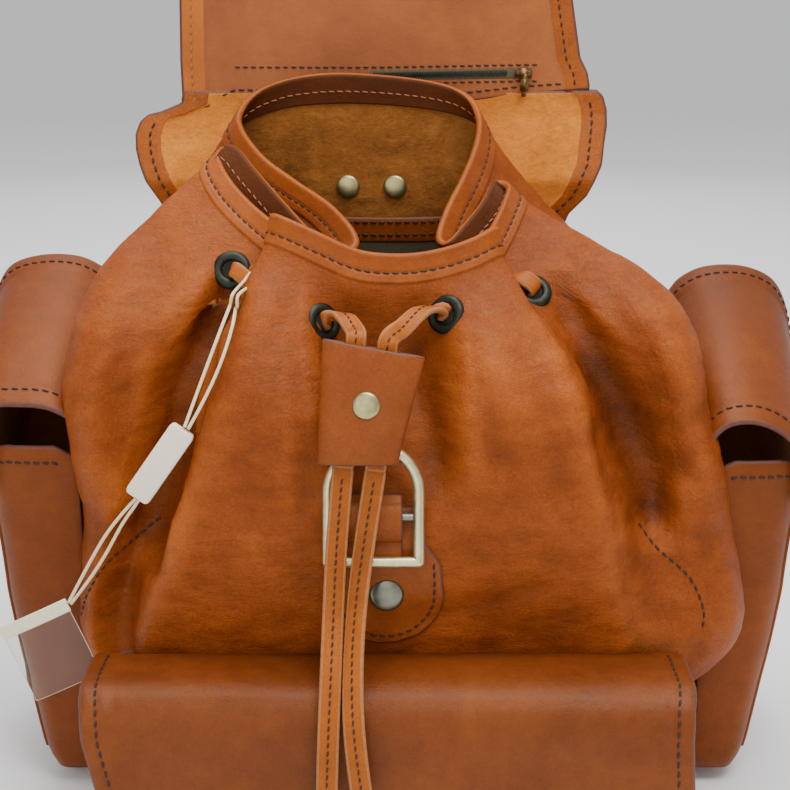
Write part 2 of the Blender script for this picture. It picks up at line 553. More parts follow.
def press(P, N_, pts, depth, sig, lift, lsig, fade=0.022):
    """Displacement of a fold that runs along a line in x and z (mm): a valley on its left, a rounded ridge on its right."""
    q = curve_pts([(x / 1000, 0, z / 1000) for x, z in pts], 90)
    qx, qz = q[:, 0], q[:, 2]
    tx, tz = np.gradient(qx), np.gradient(qz)
    tl = np.hypot(tx, tz)
    s_ = np.concatenate([[0], np.cumsum(np.hypot(np.diff(qx), np.diff(qz)))])
    out_ = np.zeros(P.shape[:2])
    box = (P[..., 0] > qx.min() - 0.05) & (P[..., 0] < qx.max() + 0.05) & (P[..., 2] > qz.min() - 0.05) & (P[..., 2] < qz.max() + 0.05) & (N_[..., 1] < 0.2) & (P[..., 1] < 0.02)
    X, Z = P[box][:, 0], P[box][:, 2]
    if len(X) == 0:
        return out_
    d2 = (X[:, None] - qx) ** 2 + (Z[:, None] - qz) ** 2
    k = d2.argmin(1)
    cr = tx[k] / tl[k] * (Z - qz[k]) - tz[k] / tl[k] * (X - qx[k])
    d = np.where(cr < 0, 1, -1) * np.sqrt(d2[np.arange(len(X)), k])
    e = smooth01(s_[k] / fade) * smooth01((s_[-1] - s_[k]) / fade) * smooth01((0.1 - N_[box][:, 1]) / 0.35)
    out_[box] = e * (-depth * np.exp(-((d - sig * 0.7) / sig) ** 2) + lift * np.exp(-((d + lsig) / lsig) ** 2))
    return out_


FOLDS = [
    ([(-70, 285), (-79, 255), (-88, 225), (-97, 199), (-110, 165), (-119, 130)], 0.0100, 0.0080, 0.0034, 0.011),
    ([(126, 142), (118, 172), (108, 200), (95, 228), (82, 252), (70, 272)], 0.0080, 0.0085, 0.0026, 0.012),
    ([(29, 262), (39, 234), (54, 209), (68, 176)], 0.0022, 0.0090, 0.0010, 0.012),
    ([(15, 256), (23, 229), (26, 204), (21, 176)], 0.0026, 0.0070, 0.0012, 0.009),
    ([(-51, 170), (-44, 201), (-47, 228), (-44, 256)], 0.0020, 0.0070, 0.0010, 0.010),
    ([(-80, 160), (-69, 204), (-61, 236), (-66, 258)], 0.0014, 0.0100, 0.0006, 0.012),
    ([(-135, 170), (-139, 216), (-134, 252), (-113, 294)], 0.0030, 0.0110, 0.0016, 0.013),
    ([(92, 292), (118, 254), (131, 220), (139, 172)], 0.0034, 0.0100, 0.0018, 0.013),
    ([(150, 205), (140, 180), (124, 160), (108, 150)], 0.0024, 0.0090, 0.0014, 0.010),
    ([(-150, 175), (-138, 158), (-120, 150)], 0.0022, 0.0090, 0.0012, 0.010),
    ([(-40, 140), (0, 128), (45, 133), (80, 150)], 0.0012, 0.0080, 0.0008, 0.010),
]
fold = sum(press(Mid, N, *f) for f in FOLDS) * smooth01((Dist - 0.013) / 0.03)
# the deep hollow between the two front lobes, with the front eyelets on its walls
dx = np.abs(Mid[..., 0] * 1000 + 5.0 - 6.0 * smooth01((255 - Mid[..., 2] * 1000) / 60))
deep = (1 - smooth01((dx - 12) / 27)) * 1.0 - 0.17 * np.exp(-((dx - 54) / 16) ** 2)
down = smooth01((Mid[..., 2] * 1000 - 158) / 75)
fold += -0.0220 * deep * down * smooth01((Dist - 0.012) / 0.030) * ((Mid[..., 1] < -0.035) & (N[..., 1] < 0.1))
Mid = Mid + N * fold[..., None]
N3 = grid_normals(Mid, True)
N = N3 if (N3 * N).sum() > 0 else -N3
# dents and creases, pressed into the surface
damp = smooth01((Dist - 0.012) / 0.05) * smooth01((Mid[..., 2] - 0.01) / 0.05)
big = fbm(Mid * [1, 1, 1.4], 14.0, 2, 3.1)
midn = fbm(Mid * [1.0, 1.0, 2.2], 42.0, 3, 11.7)
crease = 1 - np.abs(fbm(Mid * [0.8, 0.8, 2.4], 30.0, 2, 27.0)) * 2.2
crease = np.clip(crease, -0.2, 1) ** 3
disp = damp * (0.0016 * big + 0.0005 * midn - 0.00028 * crease)
pleat = fbm(np.stack([us * 0 + 3.3, us * 0, us], 1) , 38.0, 2, 4.0)[None] * np.exp(-((Dist - 0.04) / 0.035) ** 2) * 0.0009
disp += pleat * smooth01((Dist - 0.014) / 0.02)
Mid = Mid + N * disp[..., None]
N2 = grid_normals(Mid, True)
N = N2 if (N2 * N).sum() > 0 else -N2
lap = (np.roll(Mid, 3, 1) + np.roll(Mid, -3, 1) + np.roll(Mid, 3, 0) + np.roll(Mid, -3, 0)) / 4 - Mid
ridge = np.clip(-(lap * N).sum(-1) / 0.00045, -1, 1)
ridge[:3] = 0
ridge[-4:] = 0
for _ in range(7):
    ridge = (ridge + np.roll(ridge, 1, 1) + np.roll(ridge, -1, 1)) / 3
    ridge[1:-1] = (ridge[:-2] + ridge[1:-1] + ridge[2:]) / 3

HEM = 0.0125
step = 1 - smooth01((Dist - HEM) / 0.0006)
groove = np.exp(-((Dist - 0.0078) / 0.0009) ** 2) * 0.00035
Outer = Mid + N * (0.0009 * step - groove)[..., None]
nin = int(len(near) + (len(far)) * 0.86)
din = Dist[:nin]
step_in = 1 - smooth01((din - 0.0145) / 0.0008)
Inner = Mid[:nin] - N[:nin] * (0.0018 + 0.0013 * step_in)[..., None]
# the rolled edge of the hem
up = normalize(Mid[0] - Mid[2])
c0, rr = (Outer[0] + Inner[0]) / 2, np.linalg.norm(Outer[0] - Inner[0], axis=1, keepdims=True) / 2
side = normalize(Outer[0] - Inner[0])
roll = [c0 + rr * (side * math.cos(a) + up * math.sin(a)) for a in np.linspace(0, math.pi, 8)[1:-1]]
allrows = np.concatenate([Outer[::-1], np.stack(roll), Inner])
ridge_all = np.concatenate([ridge[::-1], np.full((len(roll), NU), 0.6), ridge[:nin] * 0])
nr = len(allrows)
faces = grid_faces(nr, NU, close_u=True)
rowidx = np.repeat(np.arange(nr - 1), NU)
no = len(Outer)
hem_row = int((near < HEM + 0.0003).sum())
fm = np.zeros(nr - 1, int)
fm[no - hem_row: no + len(roll) - 2] = 1
fm[no + len(roll) - 2: no + len(roll) + int((near < 0.0148).sum())] = 2
fm[no + len(roll) + int((near < 0.0148).sum()):] = 3
face_mat = fm[rowidx]
# close the underside
verts = allrows.reshape(-1, 3)
bottom_c = np.array([[0, 0, 0.0015]])
body = mesh_obj("bag_body", verts, faces, [M_BODY, M_HEM, M_HEM_IN, M_SUEDE_IN], face_mat, attrs={"ridge": ridge_all})
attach(body, "root")
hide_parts("front_panel", "side_panel_left", "side_panel_right", "back_panel", "mouth_hem")
outer_tree = BVHTree.FromPolygons([Vector(v) for v in Outer.reshape(-1, 3)], [tuple(int(i) for i in f) for f in grid_faces(len(Outer), NU, close_u=True)])
inner_tree = BVHTree.FromPolygons([Vector(v) for v in Inner.reshape(-1, 3)], [tuple(int(i) for i in f) for f in grid_faces(len(Inner), NU, close_u=True)])
NO = N[:]


def hit(origin, direction, tree=None):
    loc, nor, _, _ = (tree or outer_tree).ray_cast(Vector(origin), Vector(direction).normalized())
    if loc is None:
        loc, nor, _, _ = (tree or outer_tree).find_nearest(Vector(origin))
    if nor.dot(Vector(direction)) > 0:
        nor = -nor
    return np.array(loc), np.array(nor)


def seen(x, y, z):
    """The body's surface on the view line through a point given in mm."""
    p = Vector((x / 1000, y / 1000, z / 1000))
    return hit(cam.location, p - cam.location)


def fr(x, z):
    """The front of the body at x, z in mm."""
    return hit((x / 1000, -0.4, z / 1000), (0, 1, 0))


# ------------------------------------------------------------------ builders
def stitches(name, path, normals, mat, pitch=0.0045, length=0.0034, width=0.00135, lift=0.00025, body_name="root", closed=False):
    """Sewing thread: one short rounded stitch after another along a line, slightly sunk in."""
    P = np.asarray(path, float)
    Nn = np.broadcast_to(np.asarray(normals, float), P.shape)
    c = np.concatenate([[0], np.cumsum(np.linalg.norm(np.diff(P, axis=0), axis=1))])
    m = max(int(c[-1] / pitch), 1)
    s = (np.arange(m) + 0.5) * c[-1] / m
    at = lambda A, x: np.stack([np.interp(x, c, A[:, i]) for i in range(3)], 1)
    ctr, n = at(P, s), normalize(at(Nn, s))
    d = normalize(at(P, s + length / 2) - at(P, s - length / 2))
    w = normalize(np.cross(d, n))
    d = normalize(d + w * 0.10)
    w = normalize(np.cross(d, n))
    n = normalize(np.cross(w, d))
    prof = [(-1.0, 0.0), (-0.92, 0.45), (-0.6, 0.9), (0, 1.0), (0.6, 0.9), (0.92, 0.45), (1.0, 0.0)]
    ang = np.arange(6) * math.pi / 3
    V = []
    for x, r in prof:
        for a in ang:
            V.append(ctr + d * (x * length / 2) + (w * math.cos(a) * 0.5 + n * math.sin(a) * 0.42) * (r * width) + n * (lift + 0.00012 * (1 - x * x)))
    V = np.stack(V, 1).reshape(-1, 3)
    f0 = grid_faces(len(prof), 6, close_u=True)
    F = (f0[None] + (np.arange(m) * len(prof) * 6)[:, None, None]).reshape(-1, 4)
    o = mesh_obj(name, V, F, [mat])
    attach(o, body_name)
    return o


def slab(name, P, out, inn, mats, zone=None, body_name="root", ridge_w=0.0, flip=False, edge_mat=2, closed_u=False, sub=3):
    """A sheet with two faces and a rounded edge from a grid of points: out and inn are its offsets."""
    P = np.asarray(P, float)
    n = grid_normals(P, closed_u)
    if flip:
        n = -n
    nv, nu = P.shape[:2]
    out = np.broadcast_to(np.asarray(out, float), (nv, nu))
    inn = np.broadcast_to(np.asarray(inn, float), (nv, nu))
    A, B = P + n * out[..., None], P - n * inn[..., None]
    verts = [A.reshape(-1, 3), B.reshape(-1, 3)]
    fa, fb = grid_faces(nv, nu, closed_u), grid_faces(nv, nu, closed_u)[:, ::-1] + nv * nu
    if flip:
        fa, fb = fa[:, ::-1], fb[:, ::-1]
    za = np.zeros(len(fa), int) if zone is None else np.broadcast_to(zone, (nv - 1, nu if closed_u else nu - 1)).reshape(-1).astype(int)
    faces, mat_i = [fa, fb], [za, np.ones(len(fb), int)]
    base = 2 * nv * nu
    if closed_u:
        loops = [[(0, i) for i in range(nu)], [(nv - 1, i) for i in range(nu)]]
    else:
        loops = [[(0, i) for i in range(nu)] + [(j, nu - 1) for j in range(1, nv)] + [(nv - 1, i) for i in range(nu - 2, -1, -1)] + [(j, 0) for j in range(nv - 2, 0, -1)]]
    for k, lp in enumerate(loops):
        J = np.array([a for a, _ in lp]); I = np.array([b for _, b in lp])
        a, b = A[J, I], B[J, I]
        nn = n[J, I]
        tan = normalize(np.roll(P[J, I], -1, 0) - np.roll(P[J, I], 1, 0))
        outw = normalize(np.cross(tan, nn))
        inside = P[np.clip(J, 1, nv - 2), I if closed_u else np.clip(I, 1, nu - 2)]
        outw *= np.where(((P[J, I] - inside) * outw).sum(1, keepdims=True) < 0, -1, 1)
        r = np.linalg.norm(a - b, axis=1, keepdims=True) / 2
        c = (a + b) / 2
        rings = [c + nn * (r * math.cos(t)) + outw * (r * 0.85 * math.sin(t)) for t in np.linspace(0, math.pi, sub + 2)[1:-1]]
        m = len(lp)
        ia, ib = J * nu + I, J * nu + I + nv * nu
        ids = [ia] + [base + q * m + np.arange(m) for q in range(sub)] + [ib]
        for q in range(len(ids) - 1):
            x, y = ids[q], ids[q + 1]
            f = np.stack([x, np.roll(x, -1), np.roll(y, -1), y], 1)
            faces.append(f)
            mat_i.append(np.full(len(f), edge_mat))
        verts += rings
        base += sub * m
    V = np.concatenate(verts)
    lap = np.zeros((nv, nu))
    o = mesh_obj(name, V, np.concatenate(faces), mats, np.concatenate(mat_i), attrs={"ridge": np.concatenate([np.full(nv * nu * 2, 0.0), np.full(len(V) - 2 * nv * nu, ridge_w)])})
    bm = bmesh.new()
    bm.from_mesh(o.data)
    bmesh.ops.recalc_face_normals(bm, faces=bm.faces)
    bm.to_mesh(o.data)
    bm.free()
    if body_name:
        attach(o, body_name)
    return o, A, n


def lathe(name, profile, loc, axis, mats, seg=48, body_name="root", mat_i=None, closed=False):
    """A turned part: profile is (radius, height) along axis."""
    z = Vector(axis).normalized()
    M = z.to_track_quat("Z", "Y").to_matrix()
    a = np.linspace(0, 2 * math.pi, seg, endpoint=False)
    R = np.array(M)
    V = []
    for r, h in profile:
        r = max(r, 1e-5)
        V.append(np.stack([r * np.cos(a), r * np.sin(a), np.full(seg, h)], 1) @ R.T + np.array(loc))
    f = grid_faces(len(profile), seg, close_u=True, close_v=closed)
    o = mesh_obj(name, np.concatenate(V), f, mats, None if mat_i is None else np.repeat(mat_i, seg))
    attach(o, body_name)
    return o


def rivet(name, loc, axis, r, mat, h=0.0022, body_name="root", tip=0.0):
    prof = [(r * 0.97, -0.0006), (r, 0.0), (r * 0.985, h * 0.28), (r * 0.93, h * 0.45)]
    prof += [(r * 0.93 * math.cos(t), h * (0.45 + 0.55 * math.sin(t)) + tip) for t in np.linspace(0.1, math.pi / 2, 10)]
    return lathe(name, prof, loc, axis, [mat], body_name=body_name)


def tube(name, path, radius, mats, seg=14, body_name="root", flat=1.0, up=None, closed=False):
    """A round or flattened bar along a line; up gives its flat direction."""
    P = np.asarray(path, float)
    T = normalize(np.roll(P, -1, 0) - np.roll(P, 1, 0)) if closed else normalize(np.gradient(P, axis=0))
    if up is None:
        ref = Vector((0, 0, 1)) if abs(T[0][2]) < 0.9 else Vector((1, 0, 0))
        u = Vector(T[0]).cross(ref).normalized()
        U = []
        for t in T:
            t = Vector(t)
            u = (u - t * u.dot(t)).normalized()
            U.append(u.copy())
        U = np.array(U)
    else:
        U = np.broadcast_to(np.asarray(up, float), P.shape)
        U = normalize(U - T * (U * T).sum(1, keepdims=True))
    W = np.cross(T, U)
    a = np.linspace(0, 2 * math.pi, seg, endpoint=False)
    rad = np.broadcast_to(np.asarray(radius, float), (len(P),))
    c, s = np.cos(a), np.sin(a)
    if flat != 1.0:
        c = np.sign(c) * np.abs(c) ** 0.6
        s = np.sign(s) * np.abs(s) ** 0.6
    V = P[:, None] + (U[:, None] * (c[None, :, None] * flat) + W[:, None] * s[None, :, None]) * rad[:, None, None]
    F = grid_faces(len(P), seg, close_u=True, close_v=closed)
    if not closed:
        V = np.concatenate([P[:1, None].repeat(seg, 1), V, P[-1:, None].repeat(seg, 1)])
        F = grid_faces(len(P) + 2, seg, close_u=True)
    o = mesh_obj(name, V, F, mats)
    if body_name:
        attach(o, body_name)
    return o


def line(P, j=None, i=None):
    """A row j or column i of a grid at a fractional index."""
    if j is not None:
        a = int(math.floor(j)); t = j - a
        return P[a] * (1 - t) + P[min(a + 1, len(P) - 1)] * t
    a = int(math.floor(i)); t = i - a
    return P[:, a] * (1 - t) + P[:, min(a + 1, P.shape[1] - 1)] * t


def spread(x0, x1, n, band=0.0, k=9):
    """Positions from x0 to x1 with k columns in a band of fixed width at each end."""
    if band <= 0:
        return np.linspace(x0, x1, n)
    a = np.linspace(0, band, k)
    return np.concatenate([x0 + a, np.linspace(x0 + band, x1 - band, n - 2 * k + 2)[1:-1], x1 - a[::-1]])


def grid_at(P, nv, nu):
    """Resample a coarse grid of points with smooth lines both ways."""
    P = np.asarray(P, float)
    P = spline(P, np.arange(len(P)), np.linspace(0, len(P) - 1, nv))
    Q = np.moveaxis(P, 1, 0)
    Q = spline(Q, np.arange(len(Q)), np.linspace(0, len(Q) - 1, nu))
    return np.moveaxis(Q, 0, 1)

# PIECES
mm = 0.001

# ---- stitching round the mouth, inside and outside
row = int(np.argmin(np.abs(near - 0.0078)))
stitches("mouth_stitches", np.concatenate([Outer[row], Outer[row][:1]]), np.concatenate([N[row], N[row][:1]]), M_THREAD, lift=0.0001, width=0.0010)
stitches("mouth_stitches_inside", np.concatenate([Inner[row], Inner[row][:1]]), -np.concatenate([N[row], N[row][:1]]), M_THREAD_L, lift=0.0001, width=0.0008)

# ---- eyelets in the body
EYES = [(-79.3, -40, 276), (-34.4, -60, 255), (24.3, -60, 259), (67.2, -42, 266)]
eye_at = []
for i, e in enumerate(EYES):
    loc, nor = seen(*e)
    up_n = normalize((nor + np.array([0, -0.15, 0.1]))[None])[0]
    eye_at.append((loc, up_n))
    prof = [(0.0047, -0.0012), (0.0047, 0.0006), (0.0052, 0.0013), (0.0064, 0.0018), (0.0080, 0.0016), (0.0092, 0.0008), (0.0096, -0.0002), (0.0096, -0.0018)]
    ey = lathe("eyelet_%d" % i, prof, loc + up_n * 0.0004, up_n, [M_EYELET])
    if i == 0:
        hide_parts("eyelets")
    lathe("eyelet_hole_%d" % i, [(0.0049, 0.0), (0.004, -0.0001), (0.0, -0.0002)], loc + up_n * 0.0007, up_n, [M_DARK])
HID = [(-121, 42, 300), (108, 44, 296)]
hid_at = []
for i, (x, y, z) in enumerate(HID):
    s = -1 if x < 0 else 1
    loc, nor = hit((x / 1000, y / 1000, 0.42), (0, 0, -1))
    hid_at.append((loc, nor))
    prof = [(0.0047, -0.0012), (0.0047, 0.0006), (0.0052, 0.0013), (0.0064, 0.0018), (0.0080, 0.0016), (0.0092, 0.0008), (0.0096, -0.0002), (0.0096, -0.0018)]
    lathe("eyelet_side_%d" % i, prof, loc + nor * 0.0004, nor, [M_EYELET])
    lathe("eyelet_side_hole_%d" % i, [(0.0049, 0.0), (0.004, -0.0001), (0.0, -0.0002)], loc + nor * 0.0007, nor, [M_DARK])


def ribbon(name, pts, width, thick, mat, up, n=60, body_name="root", smooth=True):
    P = curve_pts(np.asarray(pts, float), n) if smooth else np.asarray(pts, float)
    T = normalize(np.gradient(P, axis=0))
    U = np.asarray(up, float)
    U = np.broadcast_to(U, P.shape) if U.ndim == 1 else np.stack([np.interp(np.linspace(0, 1, n), np.linspace(0, 1, len(U)), U[:, i]) for i in range(3)], 1)
    side = normalize(np.cross(T, U))
    G = np.stack([P + side * (w * width / 2) for w in np.linspace(-1, 1, 9)], 1)
    crown = (1 - np.linspace(-1, 1, 9) ** 4)[None] * 0.0003
    o, A, nn = slab(name, G, thick / 2 + crown, thick / 2 + crown, [mat, mat, M_EDGE], body_name=body_name, edge_mat=2)
    return o, P, normalize(np.cross(side, T)), side


# ---- the drawstring where it shows
l1, n1 = eye_at[0]
ribbon("drawstring_left_show", [l1 - n1 * 0.003, l1 + n1 * 0.004 + [0.002, 0, -0.001], l1 + n1 * 0.006 + [0.010, -0.002, -0.008], l1 + n1 * 0.003 + [0.018, 0.002, -0.018], l1 + [0.024, 0.008, -0.028]], 0.0062, 0.0024, M_THONG, n1)
l4, n4 = eye_at[3]
ribbon("drawstring_right_show", [l4 - n4 * 0.003, l4 + n4 * 0.004, l4 + n4 * 0.004 + [-0.006, 0.002, 0.004], l4 - n4 * 0.002 + [-0.010, 0.006, 0.006]], 0.0075, 0.0024, M_THONG, n4, n=30)

# ---- the cord slider: a folded piece of leather round both thongs
UP = np.array([0.102013, 0.213741, 0.971549])
SN = np.array([0, -0.976644, 0.214862])
SX = np.array([0.99478, -0.02192, -0.09963])
tl = lambda z: np.array([-13.2 + (z - 229) * 0.105, -106.5 - (229 - z) * 0.22, z]) * mm
sc = tl(228)
NVs, NUs = 44, 72
vv = np.linspace(-1, 1, NVs)
G = np.zeros((NVs, NUs, 3))
for j, v in enumerate(vv):
    hw = np.interp(v, [-1, 0, 1], [17.6, 20.0, 22.6]) * mm
    hz = (v * 26.0 + 0.4) * mm
    a = np.linspace(0, 2 * math.pi, NUs, endpoint=False)
    c, s_ = np.cos(a), np.sin(a)
    x = hw * np.sign(c) * np.abs(c) ** 0.42
    y = 4.2 * mm * np.sign(s_) * np.abs(s_) ** 0.75 * (1 + 0.10 * math.cos(v * 1.6))
    bow = 1.2 * mm * (1 - (x / hw) ** 2)
    u_ = np.abs(x / hw)
    y = np.where(s_ > 0, y * (1 + 0.38 * u_**1.5 * (1 - u_**5)) - 1.5 * mm * np.exp(-((x / 0.0105) ** 2 + (hz / 0.0125) ** 2)), y)
    shift = np.interp(v, [-1, 1], [-1.2, 1.0]) * mm
    G[j] = sc + SX * (x[:, None] + shift) + SN * (y + bow)[:, None] + UP * (hz + 0.0018 * (x / hw)[:, None] * -v)
slider, SA, SNrm = slab("slider_leather", G, 0.0009, 0.0008, [M_STRAP, M_SUEDE_IN, M_EDGE_D], body_name="cord_slider", closed_u=True, ridge_w=0.5, flip=True)
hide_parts("slider_band")
riv_c = sc + SX * 0.0003 + UP * 0.0012 + SN * 0.0049
rv = rivet("slider_cap", riv_c, SN, 0.0066, M_BRASS, h=0.0026, body_name="cord_slider")
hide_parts("slider_rivet")

# ---- thongs from the eyelets into the slider
TH = 7.4 * mm
for nm, k, sg in (("left", 1, -1), ("right", 2, 1)):
    loc, nor = eye_at[k]
    top = tl(256.5) + SX * (sg * TH)
    pts = [loc - nor * 0.004, loc + nor * 0.0035 + np.array([-sg * 0.001, 0, 0.001]), loc + nor * 0.010 + (top - loc) * 0.25 + [0, 0, 0.003], loc + (top - loc) * 0.62 + nor * 0.009, top + UP * 0.002, tl(249) + SX * (sg * TH), tl(236) + SX * (sg * TH)]
    T0n = np.array([-sg * 0.45, -0.75, 0.45])
    o, P, nn, sd = ribbon("thong_top_" + nm, pts, 0.0070, 0.0028, M_THONG, np.stack([normalize(T0n[None])[0], normalize(T0n[None])[0], SN, SN]), n=70)
    stitches("thong_top_stitch_" + nm, P[18:54] - nn[18:54] * 0.0016 * -1, nn[18:54], M_THREAD, width=0.0008, length=0.0026, pitch=0.0036)
    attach(o, "root")
    inner, P2, n2, s2 = ribbon("thong_run_" + nm, [tl(z) + SX * (sg * TH) for z in (250, 238, 224, 212, 200.8)], 0.0074, 0.0028, M_THONG, SN, n=24)
    if nm == "left":
        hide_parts("drawstring_loop")

# ---- the two thong ends
import mathutils


def nurbs_line(pts, steps=24):
    cu = bpy.data.curves.new("route", "CURVE")
    cu.dimensions = "3D"
    sp = cu.splines.new("NURBS")
    sp.points.add(len(pts) - 1)
    for p, q in zip(sp.points, pts):
        p.co = (*q, 1.0)
    sp.order_u = 3
    sp.use_endpoint_u = True
    cu.resolution_u = steps
    ob = bpy.data.objects.new("route", cu)
    me = bpy.data.meshes.new_from_object(ob)
    P = [v.co.copy() for v in me.vertices]
    bpy.data.objects.remove(ob)
    bpy.data.curves.remove(cu)
    bpy.data.meshes.remove(me)
    return np.array(P)


LEFT = [(-23.606, -112.718, 200.737), (-26.6, -119.6, 170), (-28.2, -128, 139), (-29, -148, 113.5), (-30, -163.5, 86), (-31, -165, 53)]
RIGHT = [(-8.884, -113.042, 199.263), (-13.6, -119.8, 170), (-17.6, -128.4, 139), (-19.2, -148.4, 113.5), (-18.2, -164, 88), (-14.6, -165.4, 61)]
for nm, route, twist in (("left", LEFT, 0.10), ("right", RIGHT, -0.35)):
    pts = np.array(route) * mm
    P = nurbs_line(pts)
    n = len(P)
    T = normalize(np.gradient(P, axis=0))
    t = np.linspace(0, 1, n)
    ang = twist * np.sin(t * math.pi * 1.15)
    U = np.stack([np.sin(ang), -np.cos(ang), 0.15 * np.ones(n)], 1)
    side = normalize(np.cross(T, U))
    tip = 1 - 0.12 * smooth01((t - 0.985) / 0.015)
    G = np.stack([P + side * (w * 0.0038) * tip[:, None] for w in np.linspace(-1, 1, 9)], 1)
    crown = (1 - np.linspace(-1, 1, 9) ** 4)[None] * 0.0003
    o, A, nn = slab("thong_end_" + nm, G, 0.0014 + crown, 0.0014 + crown, [M_THONG, M_THONG, M_EDGE], body_name=None, ridge_w=0.6)
    fn = normalize(np.cross(side, T))
    fn = np.where((fn[:, 1:2] > 0), -fn, fn)
    k0, k1 = 2, n - 3
    st = stitches("thong_end_stitch_" + nm, P[k0:k1] + fn[k0:k1] * 0.00175, fn[k0:k1], M_THREAD, width=0.0009, length=0.0027, pitch=0.0037, body_name="root")
    st.parent = None
    ln = float(np.linalg.norm(np.diff(P, axis=0), axis=1).sum())
    for q in (o, st):
        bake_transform(q)
    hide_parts("drawstring_end_" + nm)
    tuple(pts[0])
    [tuple(p) for p in P]

# ---- tag string, bead and tag
def string_cord(name, route, ex, node, parts=()):
    cu = bpy.data.curves.new(name, "CURVE")
    cu.dimensions = "3D"
    sp = cu.splines.new("NURBS")
    sp.points.add(len(route) - 1)
    for p, q in zip(sp.points, route):
        p.co = (q[0] * mm, q[1] * mm, q[2] * mm, 1.0)
    sp.order_u = 3
    sp.use_endpoint_u = True
    cu.resolution_u = 16
    cu.bevel_depth = 0.0008
    cu.bevel_resolution = 3
    cu.materials.append(M_STRING)
    ob = link(bpy.data.objects.new(name, cu))
    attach(ob, "root")
    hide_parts(node)
    return ob


UPR = [(-77.5, -67.6, 265.6), (-79.5, -81.5, 260.5), (-86.5, -96, 242.5), (-95.6, -107.5, 218.6)]
LWR = [(-118.6, -112.6, 185.9), (-130.5, -109.5, 172.5), (-143, -107, 152), (-155, -104.6, 129.5)]
b0, b1 = np.array([-96, -108, 217.8]) * mm, np.array([-118.4, -112.4, 186.4]) * mm
bd = normalize((b1 - b0)[None])[0]
bn = normalize((np.array([0.1, -1, 0.25]) - bd * np.dot([0.1, -1, 0.25], bd))[None])[0]
bs = np.cross(bd, bn)
BL = np.linalg.norm(b1 - b0)
zs = np.array([0, 0.02, 0.06, 0.5, 0.94, 0.98, 1.0])
sc_ = np.array([0.80, 0.93, 1.0, 1.0, 1.0, 0.93, 0.80])
a = np.linspace(0, 2 * math.pi, 40, endpoint=False)
cx = np.sign(np.cos(a)) * np.abs(np.cos(a)) ** 0.35
cy = np.sign(np.sin(a)) * np.abs(np.sin(a)) ** 0.35
V = [np.repeat((b0 + bd * 0.0001)[None], 40, 0)]
for z_, k_ in zip(zs, sc_):
    V.append(b0 + bd * (z_ * BL) + (bs * (cx * 6.2 * k_ * mm)[:, None] + bn * (cy * 3.0 * k_ * mm)[:, None]))
V.append(np.repeat((b1 - bd * 0.0001)[None], 40, 0))
bead = mesh_obj("tag_bead_body", np.concatenate(V), grid_faces(len(V), 40, close_u=True), [M_PLASTIC])
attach(bead, "root")
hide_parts("tag_bead")
s1 = string_cord("tag_string_up", UPR, UPR[0], "tag_string_upper")
s2 = string_cord("tag_string_low", LWR, LWR[0], "tag_string_lower")
P0 = np.array(UPR[0]) * mm
l1, n1 = eye_at[0]
TH = l1 + n1 * 0.0058 + np.array([0.0085, -0.0015, -0.0065])
LOOP = [P0, P0 + [0.0012, -0.0012, 0.005], TH + [-0.0015, -0.0028, 0.001], TH + [0.001, 0.0005, 0.0040], TH + [0.0035, -0.0030, 0.0005], P0 + [0.0040, -0.0024, 0.005], P0 + [0.0034, -0.0020, -0.001]]
tube("tag_string_loop", curve_pts(LOOP, 60), 0.0008, [M_STRING], seg=10)
for q, (rt, k, e0, e1_) in enumerate(((UPR, 3.4, 3.2, 2.0), (LWR, 3.8, 1.6, 1.4))):
    c_ = curve_pts(np.array(rt, float), 50) * mm
    w_ = np.linspace(0, 1, 50)[:, None]
    off_ = (np.sin(w_ * math.pi) * k + e0 * (1 - w_) + e1_ * w_) * mm
    tube("tag_string_second_%d" % q, c_ + off_ * np.array([[0.80, -0.25, -0.42]]), 0.0008, [M_STRING], seg=10)

# the tag: a thin card in a clear sleeve with a pale header strip
tr, tlft = np.array([-156.6, -104.6, 128.3]) * mm, np.array([-187.2, -106.5, 114.5]) * mm
tx = normalize((tr - tlft)[None])[0]
tn = normalize((np.array([0, -1, 0.18]) - tx * np.dot([0, -1, 0.18], tx))[None])[0]
ty = np.cross(tn, tx)
ty = ty if ty[2] > 0 else -ty
tcn = (tr + tlft) / 2
def tag_grid(y0, y1, w, bend):
    ys = np.linspace(y0, y1, 14)
    xs = np.linspace(-w, w, 12)
    return np.stack([[tcn + tx * x + ty * y + tn * (bend * (1 - (x / w) ** 2) + 0.0006 * math.sin(y * 90)) for x in xs] for y in ys])
sleeve, _, _ = slab("tag_sleeve", tag_grid(-0.037, 0.0018, 0.0172, 0.0012), 0.00022, 0.00022, [M_CLEAR, M_CLEAR, M_CARD])
header, _, _ = slab("tag_header", tag_grid(-0.0035, 0.0026, 0.0176, 0.0012), 0.00040, 0.00040, [M_CARD, M_CARD, M_CARD])
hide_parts("hang_tag")

